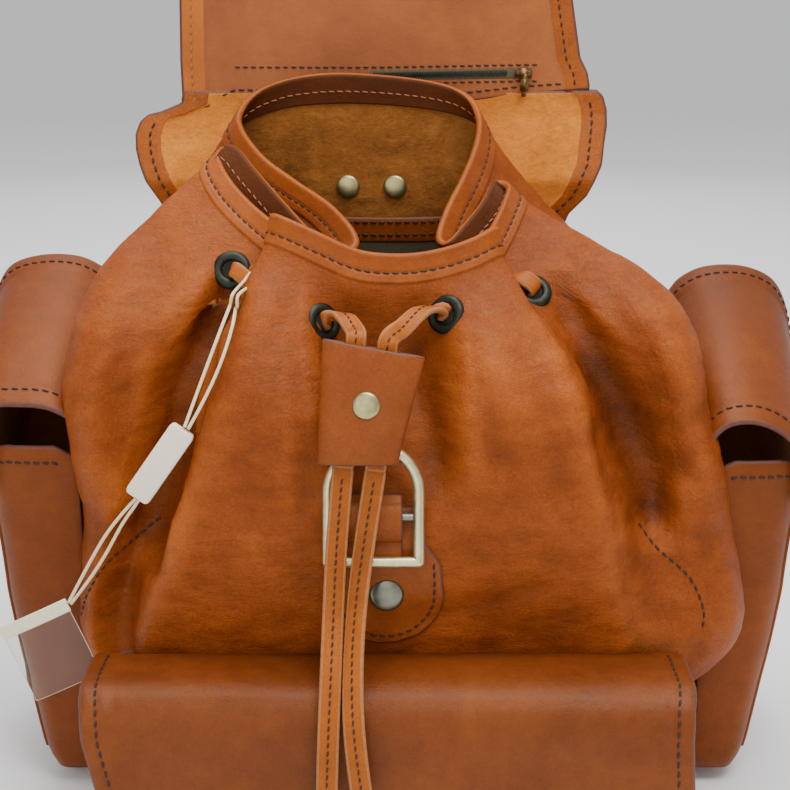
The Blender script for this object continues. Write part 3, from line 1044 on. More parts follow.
# ---- D-frame tab on the body, its loop and rivet
TC = -4.0
def tab_pt(x, z, lift):
    loc, nor = fr(TC + x, z)
    return loc, nor
rows_t = []
for z_ in np.concatenate([np.linspace(108.8, 134, 16), np.linspace(137, 176, 18)]):
    r_ = 26.2
    zc = 134.5
    hw = r_ * math.sqrt(max(1 - ((zc - z_) / (zc - 108.4)) ** 2, 0.0)) if z_ < zc else np.interp(z_, [134, 150, 160, 176], [26.2, 24.5, 18.0, 13.0])
    hw = max(hw, 2.0)
    rows_t.append([fr(TC + x, z_)[0] for x in np.linspace(-hw, hw, 25)])
TG = np.array(rows_t)
TG[..., 1] = np.minimum(TG[..., 1], TG[..., 1])
for _ in range(6):
    Q = TG.copy()
    Q[1:-1, 1:-1, 1] = (TG[:-2, 1:-1, 1] + TG[2:, 1:-1, 1] + TG[1:-1, :-2, 1] + TG[1:-1, 2:, 1]) / 4
    TG = Q
tab, TA, TN = slab("buckle_tab_leather", TG, 0.0022, 0.0006, [M_STRAP, M_SUEDE_IN, M_EDGE_D], flip=False, ridge_w=0.4)
if TN[..., 1].mean() > 0:
    bpy.data.objects.remove(tab)
    tab, TA, TN = slab("buckle_tab_leather", TG, 0.0022, 0.0006, [M_STRAP, M_SUEDE_IN, M_EDGE_D], flip=True, ridge_w=0.4)
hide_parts("buckle_tab")
edge = []
for t in np.linspace(-1.02, 1.02, 90):
    ang = t * math.pi / 2
    x, z_ = 22.6 * math.sin(ang), 134.5 - 22.6 * math.cos(ang)
    if abs(t) > 1:
        z_ = 134.5 + (abs(t) - 1) * 60
    edge.append((x, z_))
full = [( -22.2, 152.0), (-22.6, 143.0)] + edge + [(22.6, 143.0), (22.2, 152.0)]
E = []
tab_tree = BVHTree.FromPolygons([Vector(v) for v in TA.reshape(-1, 3)], [tuple(int(i) for i in f) for f in grid_faces(*TA.shape[:2])])
for x, z_ in full:
    h_ = tab_tree.ray_cast(Vector(((TC + x) / 1000, -0.4, z_ / 1000)), Vector((0, 1, 0)))[0]
    if h_ is not None:
        E.append(np.array(h_))
E = curve_pts(np.array(E), 160)
stitches("tab_stitches", E, [0, -1, 0.1], M_THREAD, width=0.0011, length=0.0032, pitch=0.0044)
h_ = tab_tree.ray_cast(Vector((TC / 1000, -0.4, 0.1355)), Vector((0, 1, 0)))[0]
rv2 = rivet("tab_rivet", np.array(h_) + [0, -0.0003, 0], (0, -1, 0.08), 0.0081, M_GUN, h=0.0024)
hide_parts("buckle_tab_rivet")
# the loop over the crossbar
lp = []
for t in np.linspace(-1.15, 1.15, 22):
    lp.append(np.array([0, -0.1085 - 0.0046 * math.cos(t * math.pi / 2), 0.1722 + 0.0085 * math.sin(t * math.pi / 2)]))
lp = [np.array([0, -0.1065, 0.150])] + [np.array([0, -0.1105, 0.1555])] + lp[1:-1] + [np.array([0, -0.1050, 0.1835])]
lpP = curve_pts(np.array(lp), 40)
LG = np.stack([lpP + np.array([x, 0, 0]) * mm for x in np.linspace(-22.0, 2.5, 14)], 1)
loop, LA, LN = slab("buckle_loop_leather", LG, 0.0013, 0.0010, [M_STRAP, M_STRAP, M_EDGE_D], ridge_w=0.5)
mid_l = line(LA, j=7)
for jj in (4,):
    pth = line(LA if LN[..., 1].mean() < 0 else LG, j=jj) + np.array([0, -0.0006, 0])
    stitches("loop_stitches", curve_pts(pth, 40), [0, -1, 0], M_THREAD, width=0.0011, length=0.0032, pitch=0.0044)
# PIECES2
# ---- front pocket
def pocket_ring(cx, cy, hx, hy, n, z, m=220, front_bulge=0.0):
    a = np.linspace(0, 2 * math.pi, m, endpoint=False)
    c, s_ = np.cos(a), np.sin(a)
    x = hx * np.sign(c) * np.abs(c) ** (2 / n)
    y = hy * np.sign(s_) * np.abs(s_) ** (2 / n)
    y = y - np.where(s_ < 0, front_bulge * np.cos(np.clip(x / hx, -1, 1) * math.pi / 2), 0)
    return np.stack([cx + x, cy + y, np.full(m, z)], 1) * mm


rings, zr = [], []
for z_ in np.concatenate([np.linspace(92, 16, 26), [12, 9, 6.5, 5.2, 4.6]]):
    k_ = np.interp(z_, [4.6, 5.2, 6.5, 9, 12, 16], [0.90, 0.94, 0.965, 0.985, 0.995, 1.0])
    rings.append(pocket_ring(-3, -113.5, 137 * k_, 32.4 - (1 - k_) * 40, 9, z_, front_bulge=1.6 * math.sin(min(max((z_ - 5) / 86, 0), 1) * math.pi)))
for k_ in (0.8, 0.5, 0.2, 0.01):
    rings.append(pocket_ring(-3, -113.5, 137 * k_, 28.4 * k_, 8, 4.4))
PG = np.array(rings)
pz = PG[..., 2:3]
PG[..., 1:2] += 0.0009 * np.sin(PG[..., 0:1] * 70 + pz * 40) * smooth01((pz - 0.01) / 0.03)
fpb, FA, FN = slab("front_pocket_leather", PG, 0.0012, 0.0012, [M_POCKET, M_SUEDE_IN, M_EDGE_D], closed_u=True, flip=False, ridge_w=0.3)
fc = (FN[10] * (PG[10] - PG[10].mean(0))).sum(-1).mean()
if fc < 0:
    bpy.data.objects.remove(fpb)
    fpb, FA, FN = slab("front_pocket_leather", PG, 0.0012, 0.0012, [M_POCKET, M_SUEDE_IN, M_EDGE_D], closed_u=True, flip=True, ridge_w=0.3)
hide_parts("front_pocket_body")
stitches("front_pocket_rim_stitch", np.concatenate([line(FA, j=2), line(FA, j=2)[:1]]), np.concatenate([line(FN, j=2), line(FN, j=2)[:1]]), M_THREAD)
fr_sel = np.abs(PG[25, :, 1] + 0.1455) < 0.006
stitches("front_pocket_base_stitch", np.concatenate([line(FA, j=24), line(FA, j=24)[:1]]), np.concatenate([line(FN, j=24), line(FN, j=24)[:1]]), M_THREAD)
for sx in (-136.0, 130.0):
    col = int(np.argmin(np.abs(PG[10, :, 0] * 1000 - sx) + np.where(PG[10, :, 1] < -0.12, 0, 1000)))
    stitches("front_pocket_corner_%s" % ("l" if sx < 0 else "r"), FA[1:25, col], FN[1:25, col], M_THREAD)

# ---- front flap
prof = np.array([(-101, 99.0), (-113, 102.6), (-126, 103.6), (-138, 103.2), (-146, 100.2), (-151.0, 94.5), (-153.6, 86), (-155.0, 70), (-156.0, 54), (-156.4, 43)])
pp = curve_pts(prof, 64)
NX = 130
FG = np.zeros((len(pp), NX, 3))
for j, (y, z) in enumerate(pp):
    xl = np.interp(-z if y < -140 else -103.6, [-103.6, -97.4, -83.8, -57.6, -42], [-143.0, -141.5, -140.5, -134.5, -130.5])
    xr = np.interp(-z if y < -140 else -103.6, [-103.6, -97.4, -83.8, -57.6, -42], [136.5, 134.5, 134.0, 135.5, 135.5])
    u_ = np.linspace(-1, 1, NX)
    x = (xl + xr) / 2 + (xr - xl) / 2 * u_
    sag = 1.8 * (1 - u_**4) * math.sin(min(j / (len(pp) - 1) * 1.5, 1) * math.pi) * 0.6
    wav = 0.7 * np.sin(x * 0.045 + 1.0) * smooth01(np.array((j / len(pp) - 0.45) / 0.4))
    FG[j] = np.stack([x, y - wav - 0.4, z - 0.0 * x + sag * (0.6 if y > -146 else 0.0)], 1) * mm
    low = smooth01(np.array((j / (len(pp) - 1) - 0.90) / 0.1))
    FG[j, :, 2] += low * 0.001 * (np.abs(u_) ** 10) * 4
FG[..., 2] -= 0.0006 * fbm(FG, 22.0, 2, 5.0)[...]
xdist = np.minimum(FG[..., 0] - FG[:, :1, 0], FG[:, -1:, 0] - FG[..., 0])
rowd = np.concatenate([[0], np.cumsum(np.linalg.norm(np.diff(FG[:, NX // 2], axis=0), axis=1))])
ydist = (rowd[-1] - rowd)[:, None]
bandd = np.minimum(xdist, np.broadcast_to(ydist, xdist.shape))
bstep = 1 - smooth01((bandd - 0.0105) / 0.0009)
fgroove = np.exp(-((bandd - 0.0062) / 0.0009) ** 2) * 0.0003
flap, FLA, FLN = slab("front_flap_leather", FG, 0.0014 + 0.0008 * bstep - fgroove, 0.0014, [M_FLAP, M_SUEDE_IN, M_EDGE_D], body_name=None, flip=False, ridge_w=0.8)
if FLN[20, NX // 2, 2] < 0:
    bpy.data.objects.remove(flap)
    flap, FLA, FLN = slab("front_flap_leather", FG, 0.0014 + 0.0008 * bstep - fgroove, 0.0014, [M_FLAP, M_SUEDE_IN, M_EDGE_D], body_name=None, flip=True, ridge_w=0.8)
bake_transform(flap)
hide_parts("front_flap")


def along_inset(A, Nn, dist, sides="lbr"):
    """A line a fixed distance inside the edges of a grid: down the left, along the end, up the right."""
    nv, nu = A.shape[:2]
    def at(j, w):
        c = np.concatenate([[0], np.cumsum(np.linalg.norm(np.diff(A[j], axis=0), axis=1))])
        d_ = dist if w == 0 else c[-1] - dist
        return np.array([np.interp(d_, c, A[j, :, q]) for q in range(3)]), np.array([np.interp(d_, c, Nn[j, :, q]) for q in range(3)])
    c = np.concatenate([[0], np.cumsum(np.linalg.norm(np.diff(A[:, nu // 2], axis=0), axis=1))])
    je = float(np.interp(c[-1] - dist, c, np.arange(nv)))
    P_, Q_ = [], []
    if "l" in sides:
        for j in range(1, int(je) + 1):
            p, q = at(j, 0); P_.append(p); Q_.append(q)
    if "b" in sides:
        rowp, rown = line(A, j=je), line(Nn, j=je)
        c2 = np.concatenate([[0], np.cumsum(np.linalg.norm(np.diff(rowp, axis=0), axis=1))])
        for d_ in np.linspace(dist, c2[-1] - dist, 120):
            P_.append([np.interp(d_, c2, rowp[:, q]) for q in range(3)]); Q_.append([np.interp(d_, c2, rown[:, q]) for q in range(3)])
    if "r" in sides:
        for j in range(int(je), 0, -1):
            p, q = at(j, 1); P_.append(p); Q_.append(q)
    return np.array(P_), normalize(np.array(Q_))


P_, Q_ = along_inset(FLA, FLN, 0.0062)
keep = P_[:, 1] < -0.108
st = stitches("front_flap_stitches", P_[keep], Q_[keep], M_THREAD, width=0.0012, length=0.0034, pitch=0.0048, body_name="front_flap")

# ---- side pockets and flaps
for sgn, nm in ((1, "right"), (-1, "left")):
    off = 0.0 if sgn > 0 else 4.0
    rows_p = []
    for t in np.linspace(0, 1, 40):
        row_ = []
        s_pts = [(158, -57.2), (168, -57.8), (180, -57.8), (192, -56.5), (199, -50), (200.5, -30), (201, 0), (200.5, 26), (199, 44), (192, 50.5), (180, 51.8), (168, 51.8), (158, 51)]
        sp_ = curve_pts(np.array(s_pts, float), 70)
        for x, y in sp_:
            ztop = (190.5 if sgn < 0 else 182.5) + (y + 58) * (0.40 if sgn < 0 else 0.44) - 5.0 * np.clip((x - 190) / 11, 0, 1) * np.clip((-20 - y) / 38, 0, 1) - 6.0 * np.clip((168 - x) / 10, 0, 1)
            z = ztop + (9.5 - ztop) * t
            flare = np.interp(z, [8, 30, 60, 110, 150, 200, 240], [-17, -14, -10.5, -2.5, 0.5, 0.5, -0.5])
            xx = x + (flare + 11.0 * (y + 58) / 110) * (x - 158) / 43
            if z < 24:
                k_ = 1 - (1 - max(z - 8, 0) / 16) ** 2 * 0.10
                xx = 160 + (xx - 160) * k_
                y2 = -3 + (y + 3) * (1 - (1 - max(z - 8, 0) / 16) ** 2 * 0.05)
            else:
                y2 = y
            bul = 1.2 * math.sin(t * math.pi) * (0.5 + 0.5 * math.cos((y + 3) / 55 * math.pi))
            row_.append((xx + bul, y2, z))
        rows_p.append(row_)
    last = np.array(rows_p[-1])
    for k_ in (0.75, 0.4, 0.08):
        q = last.copy()
        q[:, 0] = 158 + (q[:, 0] - 158) * k_
        q[:, 1] = -3 + (q[:, 1] + 3) * (0.5 + 0.5 * k_)
        q[:, 2] = 8.6
        rows_p.append(q.tolist())
    SP = np.array(rows_p)
    SP[..., 0] += 0.8 * np.sin(SP[..., 2] * 0.05 + SP[..., 1] * 0.04) * np.clip((SP[..., 0] - 170) / 20, 0, 1)
    SP[..., 0] *= sgn
    SP = SP * mm
    rd = np.broadcast_to(np.concatenate([[0], np.cumsum(np.linalg.norm(np.diff(SP[:, 35], axis=0), axis=1))])[:, None], SP.shape[:2])
    hb = 1 - smooth01((rd - 0.011) / 0.001)
    for fl in (False, True):
        pk, KA, KN = slab("side_pocket_%s_leather" % nm, SP, 0.0012 + 0.0007 * hb, 0.0012, [M_POCKET2, M_SUEDE_IN, M_EDGE_D], flip=fl, ridge_w=0.4)
        if KN[10, 35, 0] * sgn > 0:
            break
        bpy.data.objects.remove(pk)
    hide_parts("side_pocket_" + nm)
    P1 = line(KA, j=1.6)[3:-3]
    stitches("side_pocket_%s_rim_stitch" % nm, P1, line(KN, j=1.6)[3:-3], M_THREAD)
    for ci, tag in ((20, "front"), (50, "back")):
        stitches("side_pocket_%s_%s_seam" % (nm, tag), KA[2:38, ci], KN[2:38, ci], M_THREAD)
        tube("side_pocket_%s_%s_piping" % (nm, tag), KA[1:38, ci + (3 if tag == "back" else -3)] + KN[1:38, ci] * 0.0002, 0.0011, [M_POCKET2], seg=8)
    # flap
    if sgn > 0:
        fback = [(153, 240), (158, 248), (168, 254), (184, 254.5), (197, 248), (204, 234), (207, 214), (208, 192)]
        ffront = [(153.5, 186), (156, 198), (164, 205), (178, 205.5), (192, 198), (201, 184), (206, 168), (208, 156)]
    else:
        fback = [(153, 246), (158, 254), (168, 260), (184, 260.5), (197, 255), (204, 240), (207, 217), (208, 194)]
        ffront = [(149.5, 190), (153, 204), (162, 212.5), (178, 215), (194, 213), (203.5, 196), (207, 176), (208, 160)]
    cb_, cf_ = curve_pts(np.array(fback, float), 80), curve_pts(np.array(ffront, float), 80)
    rows_f = []
    for t in np.linspace(0, 1, 56):
        w = t
        xz = cb_ * (1 - w) + cf_ * w
        y = 56 - 118 * t
        dome = 3.2 * math.sin(t * math.pi) * np.sin(np.linspace(0.05, 0.75, 80) * math.pi)
        lip = 2.2 * smooth01(np.array((t - 0.93) / 0.07))
        xz[:, 0] += 13.0 * (1 - t) * np.clip((xz[:, 0] - 153) / 55, 0, 1)
        rows_f.append(np.stack([sgn * (xz[:, 0] + off * smooth01((xz[:, 0] - 150) / 12)), np.full(80, y), xz[:, 1] + dome - lip * 0.4], 1))
    SF = np.array(rows_f) * mm
    e1 = (np.linspace(0, 1, 56) * 0.118)[:, None]
    e2 = ((1 - np.linspace(0, 1, 56)) * 0.118)[:, None]
    cc = np.concatenate([[0], np.cumsum(np.linalg.norm(np.diff(SF[28], axis=0), axis=1))])
    e3 = (cc[-1] - cc)[None]
    bd_ = np.minimum(np.minimum(np.broadcast_to(e1, SF.shape[:2]), np.broadcast_to(e2, SF.shape[:2])), np.broadcast_to(e3, SF.shape[:2]))
    fb_ = 1 - smooth01((bd_ - 0.0115) / 0.001)
    fg_ = np.exp(-((bd_ - 0.0075) / 0.0009) ** 2) * 0.00035
    for fl in (False, True):
        sf, SFA, SFN = slab("side_flap_%s_leather" % nm, SF, 0.0012 + 0.0009 * fb_ - fg_, 0.0012, [M_POCKET2, M_SUEDE_IN, M_EDGE_D], body_name="side_flap_" + nm, flip=fl, ridge_w=0.7)
        if SFN[28, 30, 2] > 0:
            break
        bpy.data.objects.remove(sf)
    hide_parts("side_flap_" + nm)
    jf, jb = (0.118 - 0.0075) / 0.118 * 55, 0.0075 / 0.118 * 55
    stitches("side_flap_%s_front_stitch" % nm, line(SFA, j=jf)[3:-4], line(SFN, j=jf)[3:-4], M_THREAD, width=0.0011, length=0.0034, pitch=0.0048, body_name="side_flap_" + nm)
    stitches("side_flap_%s_back_stitch" % nm, line(SFA, j=jb)[3:-4], line(SFN, j=jb)[3:-4], M_THREAD, width=0.0011, length=0.0034, pitch=0.0048, body_name="side_flap_" + nm)
    io = float(np.interp(cc[-1] - 0.0075, cc, np.arange(80)))
    stitches("side_flap_%s_low_stitch" % nm, line(SFA, i=io)[4:-4], line(SFN, i=io)[4:-4], M_THREAD, width=0.0011, length=0.0034, pitch=0.0048, body_name="side_flap_" + nm)

# ---- lid base: the leather strip with its rough side forward, and its two ears
bz = np.array([264, 285, 300, 334, 341, 350])
by = np.array([79.4, 76.8, 75.4, 90.6, 92.2, 93.2])
zz = np.concatenate([np.linspace(264, 326, 34), np.linspace(327.5, 346.5, 14)])
LGr = []
for z_ in zz:
    xl = np.interp(z_, [264, 288, 300.7, 308.4, 316.2, 324, 330, 333.4, 335.6, 346.5], [-122, -130.1, -138.2, -141.4, -143.6, -143.8, -141.5, -137.3, -127, -116])
    xr = np.interp(z_, [264, 282, 292, 308.4, 329, 337, 344, 347], [90, 96.7, 106.3, 114.4, 117.1, 117.1, 115.0, 111.5])
    if z_ > 335:
        xl = np.interp(z_, [335, 340, 347], [-130, -118, -117])
    x = spread(xl, xr, 150, 13.2, 12)
    y = np.interp(z_, bz, by)
    ear = (np.clip((-105 - x) / 38, 0, 1) ** 1.5) + (np.clip((x - 82) / 34, 0, 1) ** 1.5)
    curl = ear * 6.0 * np.interp(z_, [264, 300, 330], [0.2, 1.0, 1.3])
    LGr.append(np.stack([x, y - curl * 0.0 + ear * 1.2, np.full(150, z_)], 1))
LB = np.array(LGr) * mm
LB[..., 1] += 0.0006 * fbm(LB, 26, 2, 9.0)
xl_d = LB[..., 0] - LB[:, :1, 0]
xr_d = LB[:, -1:, 0] - LB[..., 0]
bw = np.minimum(xl_d, xr_d)
zone = np.zeros((len(zz) - 1, 149), int)
zone[:, :11] = 3
zone[:, -11:] = 3
bs_ = 1 - smooth01((bw - 0.0130) / 0.0007)
for fl in (False, True):
    lb, LBA, LBN = slab("lid_base_suede", LB, 0.0011 + 0.0009 * bs_, 0.0013 + 0.0012 * smooth01((LB[..., 2] - 0.318) / 0.012), [M_SUEDE, M_LIDOUT, M_EDGE_D, M_LIDOUT], zone=zone, flip=fl, ridge_w=0.5)
    if LBN[20, 75, 1] < 0:
        break
    bpy.data.objects.remove(lb)
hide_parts("lid_base_strip")
for w, nm in ((0, "left"), (1, "right")):
    P_, Q_ = [], []
    for j in range(2, len(zz) - (11 if w == 0 else 3)):
        c_ = LBA[j, :, 0]
        x_ = c_[0] + 0.0072 if w == 0 else c_[-1] - 0.0072
        P_.append([x_, np.interp(x_, c_, LBA[j, :, 1]), LBA[j, 0, 2]])
        Q_.append([0, -1, 0.1])
    stitches("lid_base_stitch_" + nm, np.array(P_) + [0, -0.0001, 0], np.array(Q_), M_THREAD, width=0.0012, length=0.0036, pitch=0.0050)
stitches("lid_base_back_stitch", line(LBA, j=6)[20:-20] + [0, 0.0026, 0], [0, 1, 0], M_THREAD)

# ---- lid: lining in front, leather behind, joined to the strip at its lower edge
hingeP = np.array([96.6, 366.0])
lean_ = math.radians(8)
def lid_path(s):
    """y, z at a distance s (mm) up the lid from its lower edge."""
    if s < 28:
        z = 338 + s
        return np.interp(z, [334, 350, 366], [91.2, 93.6, 96.4]), z
    d_ = s - 28
    return 96.4 + d_ * math.sin(lean_), 366 + d_ * math.cos(lean_)


def lid_sheet(name, s0, s1, n, mats_, bodies, ba, bb):
    S = np.linspace(s0, s1, n)
    rows_ = []
    for s_ in S:
        y, z = lid_path(s_)
        xl = np.interp(z, [338, 345, 364, 396, 540], [-116, -117.5, -118.2, -117.9, -117.0])
        xr = np.interp(z, [338, 351, 364, 396, 540], [107.5, 106.1, 102.1, 96.9, 96.9])
        if z < 352:
            xr -= 0
        x = spread(xl, xr, 150, 12.0, 12)
        low = np.interp(x, [-117, -96.9, -89.5, 42, 69.9, 106], [338.3, 339.9, 344.3, 342.7, 346.5, 349.2])
        zlow = low + (z - 338) * (366 - low) / 28 if z < 366 else np.full(150, z)
        rows_.append(np.stack([x, np.full(150, y) if z >= 366 else np.interp(zlow, [334, 350, 366], [91.2, 93.6, 96.4]), zlow], 1))
    G_ = np.array(rows_) * mm
    G_[..., 1] += 0.0011 * fbm(G_ * [1, 0.2, 1], 11, 2, 15.0) * smooth01((G_[..., 2] - 0.35) / 0.04) * smooth01((0.4425 - G_[..., 2]) / 0.025)
    xl_ = G_[..., 0] - G_[:, :1, 0]
    xr_ = G_[:, -1:, 0] - G_[..., 0]
    zn = np.zeros((n - 1, 149), int)
    zn[:, :11] = 3
    zn[:, -11:] = 4
    bb_ = np.maximum(1 - smooth01((xl_ - 0.0119) / 0.0006), 1 - smooth01((xr_ - 0.0119) / 0.0006))
    for fl in (False, True):
        o, A_, N_ = slab(name, G_, 0.0011 + 0.0008 * bb_, 0.0014 + 0.0005 * bb_, mats_, zone=zn, flip=fl, body_name=None, ridge_w=0.5)
        if N_[n // 2, 75, 1] < 0:
            break
        bpy.data.objects.remove(o)
    return o, A_, N_, G_


LM = [M_LINING, M_LIDOUT, M_EDGE_D, M_BIND, M_LIDOUT]
lid1, L1A, L1N, L1G = lid_sheet("lid_lower", 0, 105.0, 70, LM, None, None, None)
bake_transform(lid1)
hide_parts("lid_base_lining", "lid_panel", "lid_lining", "lid_binding")


def lid_stitch(name, A_, N_, i_in, mat, rows_=slice(1, -1), back=False):
    P_, Q_ = [], []
    for j in range(len(A_))[rows_]:
        c = A_[j, :, 0]
        x = c[0] + i_in if i_in > 0 else c[-1] + i_in
        P_.append([x, np.interp(x, c, A_[j, :, 1]), np.interp(x, c, A_[j, :, 2])])
        Q_.append([0, -1, 0.1])
    return stitches(name, np.array(P_), np.array(Q_), mat, width=0.0010, length=0.0030, pitch=0.0046)


for q, (i_in, mt) in {"left": (0.0050, M_THREAD_L), "right": (-0.0068, M_THREAD)}.items():
    s_ = lid_stitch("lid_lower_stitch_" + q, L1A, L1N, i_in, mt)
    s_.parent = None
    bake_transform(s_)
ls_ = stitches("lid_lining_low_stitch", line(L1A, j=3.2)[16:-12], [0, -1, 0.1], M_THREAD, width=0.0011, length=0.0034, pitch=0.0048)

# upper lid and the front part that hangs back
FOLD = np.array([120.96, 539.3])
def top_path(s):
    """From 105 mm up the lid, over the fold and down the back."""
    y0, z0 = lid_path(105 + s)
    r = 9.0
    tot = 28 + 175 - 105
    bend = math.radians(100)
    arc_len = r * bend
    t_in = r * math.tan(bend / 2)
    if s < tot - t_in:
        return y0, z0, lean_
    e = s - (tot - t_in)
    yb, zb = lid_path(105 + tot - t_in)
    cy, cz = yb + r * math.cos(lean_), zb - r * math.sin(lean_)
    if e < arc_len:
        th = e / r
        return cy - r * math.cos(lean_ + th), cz + r * math.sin(lean_ + th), lean_ + th
    a_ = lean_ + bend
    ya, za = cy - r * math.cos(a_), cz + r * math.sin(a_)
    e -= arc_len
    return ya + e * math.sin(a_), za + e * math.cos(a_), a_


def top_sheet(name, S, mats_):
    rows_ = []
    tot = S[-1]
    for s_ in S:
        y, z, a_ = top_path(s_)
        end = tot - s_
        hw = np.interp(end, [0, 6, 14, 26, 40, 90], [58, 72, 84, 95, 101, 106]) if end < 90 else 107.4
        x = spread(-10.3 - hw, -10.3 + hw, 120, 11.4, 10)
        rows_.append(np.stack([x, np.full(120, y), np.full(120, z)], 1))
    G_ = np.array(rows_) * mm
    n = len(S)
    e_x = np.minimum(G_[..., 0] - G_[:, :1, 0], G_[:, -1:, 0] - G_[..., 0])
    e_y = ((tot - S) * mm)[:, None] + 0 * e_x
    e_ = np.minimum(e_x, e_y)
    zn = np.where(e_y[:-1, :-1] < 0.0115, 3, 0)
    zn[:, :9] = np.where(S[:-1] < 84, 4, 3)[:, None]
    zn[:, -9:] = 3
    bb_ = 1 - smooth01((e_ - 0.0113) / 0.0006)
    for fl in (False, True):
        o, A_, N_ = slab(name, G_, 0.0011 + 0.0008 * bb_, 0.0014 + 0.0005 * bb_, mats_, zone=zn, flip=fl, body_name=None, ridge_w=0.5)
        if N_[5, 60, 1] < 0:
            break
        bpy.data.objects.remove(o)
    return o, A_, N_, G_


S_ = np.concatenate([np.linspace(0, 82, 40), np.linspace(83, 108, 26), np.linspace(110, 186, 44)])
lid2, L2A, L2N, L2G = top_sheet("lid_upper", S_, [M_LINING, M_LIDOUT, M_EDGE_D, M_LIDOUT, M_BIND])
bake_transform(lid2)
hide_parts("lid_front_panel", "lid_front_lining", "lid_front_binding")
P_, Q_ = along_inset(L2A, L2N, 0.0062)
s_ = stitches("lid_upper_stitches", P_, Q_, M_THREAD, width=0.0011, length=0.0034, pitch=0.0048, body_name="lid")
s_.parent = None
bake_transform(s_)
L2B = L2G - L2N * 0.0022
P_, Q_ = along_inset(L2B, -L2N, 0.0062)
s_ = stitches("lid_upper_stitches_out", P_, Q_, M_THREAD, width=0.0011, length=0.0034, pitch=0.0048, body_name="lid")
s_.parent = None
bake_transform(s_)

# the strap on the lid's outer side
ls_lo, ls_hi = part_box("lid_strap")
a108 = math.radians(108)
dirv = np.array([0, math.sin(a108), math.cos(a108)])
lo3, hi3 = np.array(ls_lo), np.array(ls_hi)
sx0, sx1 = lo3[0], hi3[0]
near_p = np.array([(sx0 + sx1) / 2, lo3[1] + 0.0006, hi3[2] - 0.0022])
far_p = np.array([(sx0 + sx1) / 2, hi3[1] - 0.0006, lo3[2] + 0.0022])
cl = (near_p * (1 - np.linspace(0, 1, 60)[:, None]) + far_p * np.linspace(0, 1, 60)[:, None])
Ls = np.linalg.norm(far_p - near_p)
sw = []
for i_, p in enumerate(cl):
    e = Ls * (1 - i_ / 59)
    hw = 0.0138 * math.sqrt(max(1 - (1 - min(e / 0.016, 1)) ** 2, 0.02))
    sw.append(p + np.array([1, 0, 0])[None] * (np.linspace(-1, 1, 13) * hw)[:, None])
LS = np.array(sw)
lst, LSA, LSN = slab("lid_strap_leather", LS, 0.0016, 0.0016, [M_STRAP, M_STRAP, M_EDGE_D], body_name="lid_front", ridge_w=0.5)
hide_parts("lid_strap")
for q_ in (LSA, LS - LSN * 0.0016):
    sgq = 1 if q_ is LSA else -1
    P_, Q_ = along_inset(q_, LSN * sgq, 0.0035)
    stitches("lid_strap_stitch_%d" % (sgq + 1), P_, Q_, M_THREAD, body_name="lid_front")
for k_ in range(3):
    p = far_p + (near_p - far_p) / Ls * (0.022 + 0.020 * k_)
    nz = LSN[30, 6]
    for sg_ in (1, -1):
        lathe("lid_strap_hole_%d_%d" % (k_, sg_ + 1), [(0.0026, 0.0), (0.0022, 0.00012), (0.0, 0.0001)], p + nz * sg_ * 0.00165, nz * sg_, [M_DARK], seg=20, body_name="lid_front")

# ---- zip in the lid's lining
def lid_front_at(x, z, lift=0.0):
    y = np.interp(z, [334, 350, 366, 540], [91.2, 93.6, 96.4, 96.4 + 174 * math.tan(lean_)])
    return np.array([x, y - 1.1 - lift, z]) * mm


zx = np.linspace(-14, 76, 60)
zc_ = lambda x: np.interp(x, [-14, 74], [356.0, 357.4])
ZG = np.stack([[lid_front_at(x, zc_(x) + d_, 0.1 + 0.15 * (1 - abs(d_) / 3)) for x in zx] for d_ in np.linspace(-2.6, 2.6, 5)])
zt, ZA, ZN = slab("zip_slot", ZG, 0.0002, 0.0002, [M_CLOTH, M_CLOTH, M_CLOTH])
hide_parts("zip_tape")
tv, tf = [], []
for i_, x in enumerate(np.arange(-12, 62, 1.5)):
    c = lid_front_at(x, zc_(x), 0.75)
    for sg_ in (-1, 1):
        b_ = len(tv) * 8
        cz_ = c + np.array([0.00038 * sg_, 0, 0.00055 * sg_])
        tv.append([cz_ + np.array([sx * 0.00042, sy * 0.0005, sz * 0.0010]) for sx in (-1, 1) for sy in (-1, 1) for sz in (-1, 1)])
        tf += [[b_ + k for k in f] for f in ((0, 1, 3, 2), (4, 6, 7, 5), (0, 4, 5, 1), (2, 3, 7, 6), (0, 2, 6, 4), (1, 5, 7, 3))]
teeth = poly_obj("zip_teeth", np.concatenate(tv), tf, [M_EYELET], smooth=False)
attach(teeth, "root")


def rounded_box(name, centre, ax, ay, az, size, mat, body_name, r=0.25, n=5):
    """A pillow-edged block with its three axes."""
    bm = bmesh.new()
    bmesh.ops.create_cube(bm, size=1.0)
    bmesh.ops.bevel(bm, geom=bm.edges[:], offset=r, segments=3, affect="EDGES")
    M = np.array([ax, ay, az], float)
    for v in bm.verts:
        p = np.array(v.co) * 1.0
        q = np.array(centre) + M[0] * p[0] * size[0] + M[1] * p[1] * size[1] + M[2] * p[2] * size[2]
        v.co = Vector(q)
    me = bpy.data.meshes.new(name)
    bmesh.ops.recalc_face_normals(bm, faces=bm.faces)
    bm.to_mesh(me)
    bm.free()
    me.materials.append(mat)
    me.polygons.foreach_set("use_smooth", np.ones(len(me.polygons), bool))
    o = link(bpy.data.objects.new(name, me))
    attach(o, body_name)
    return o


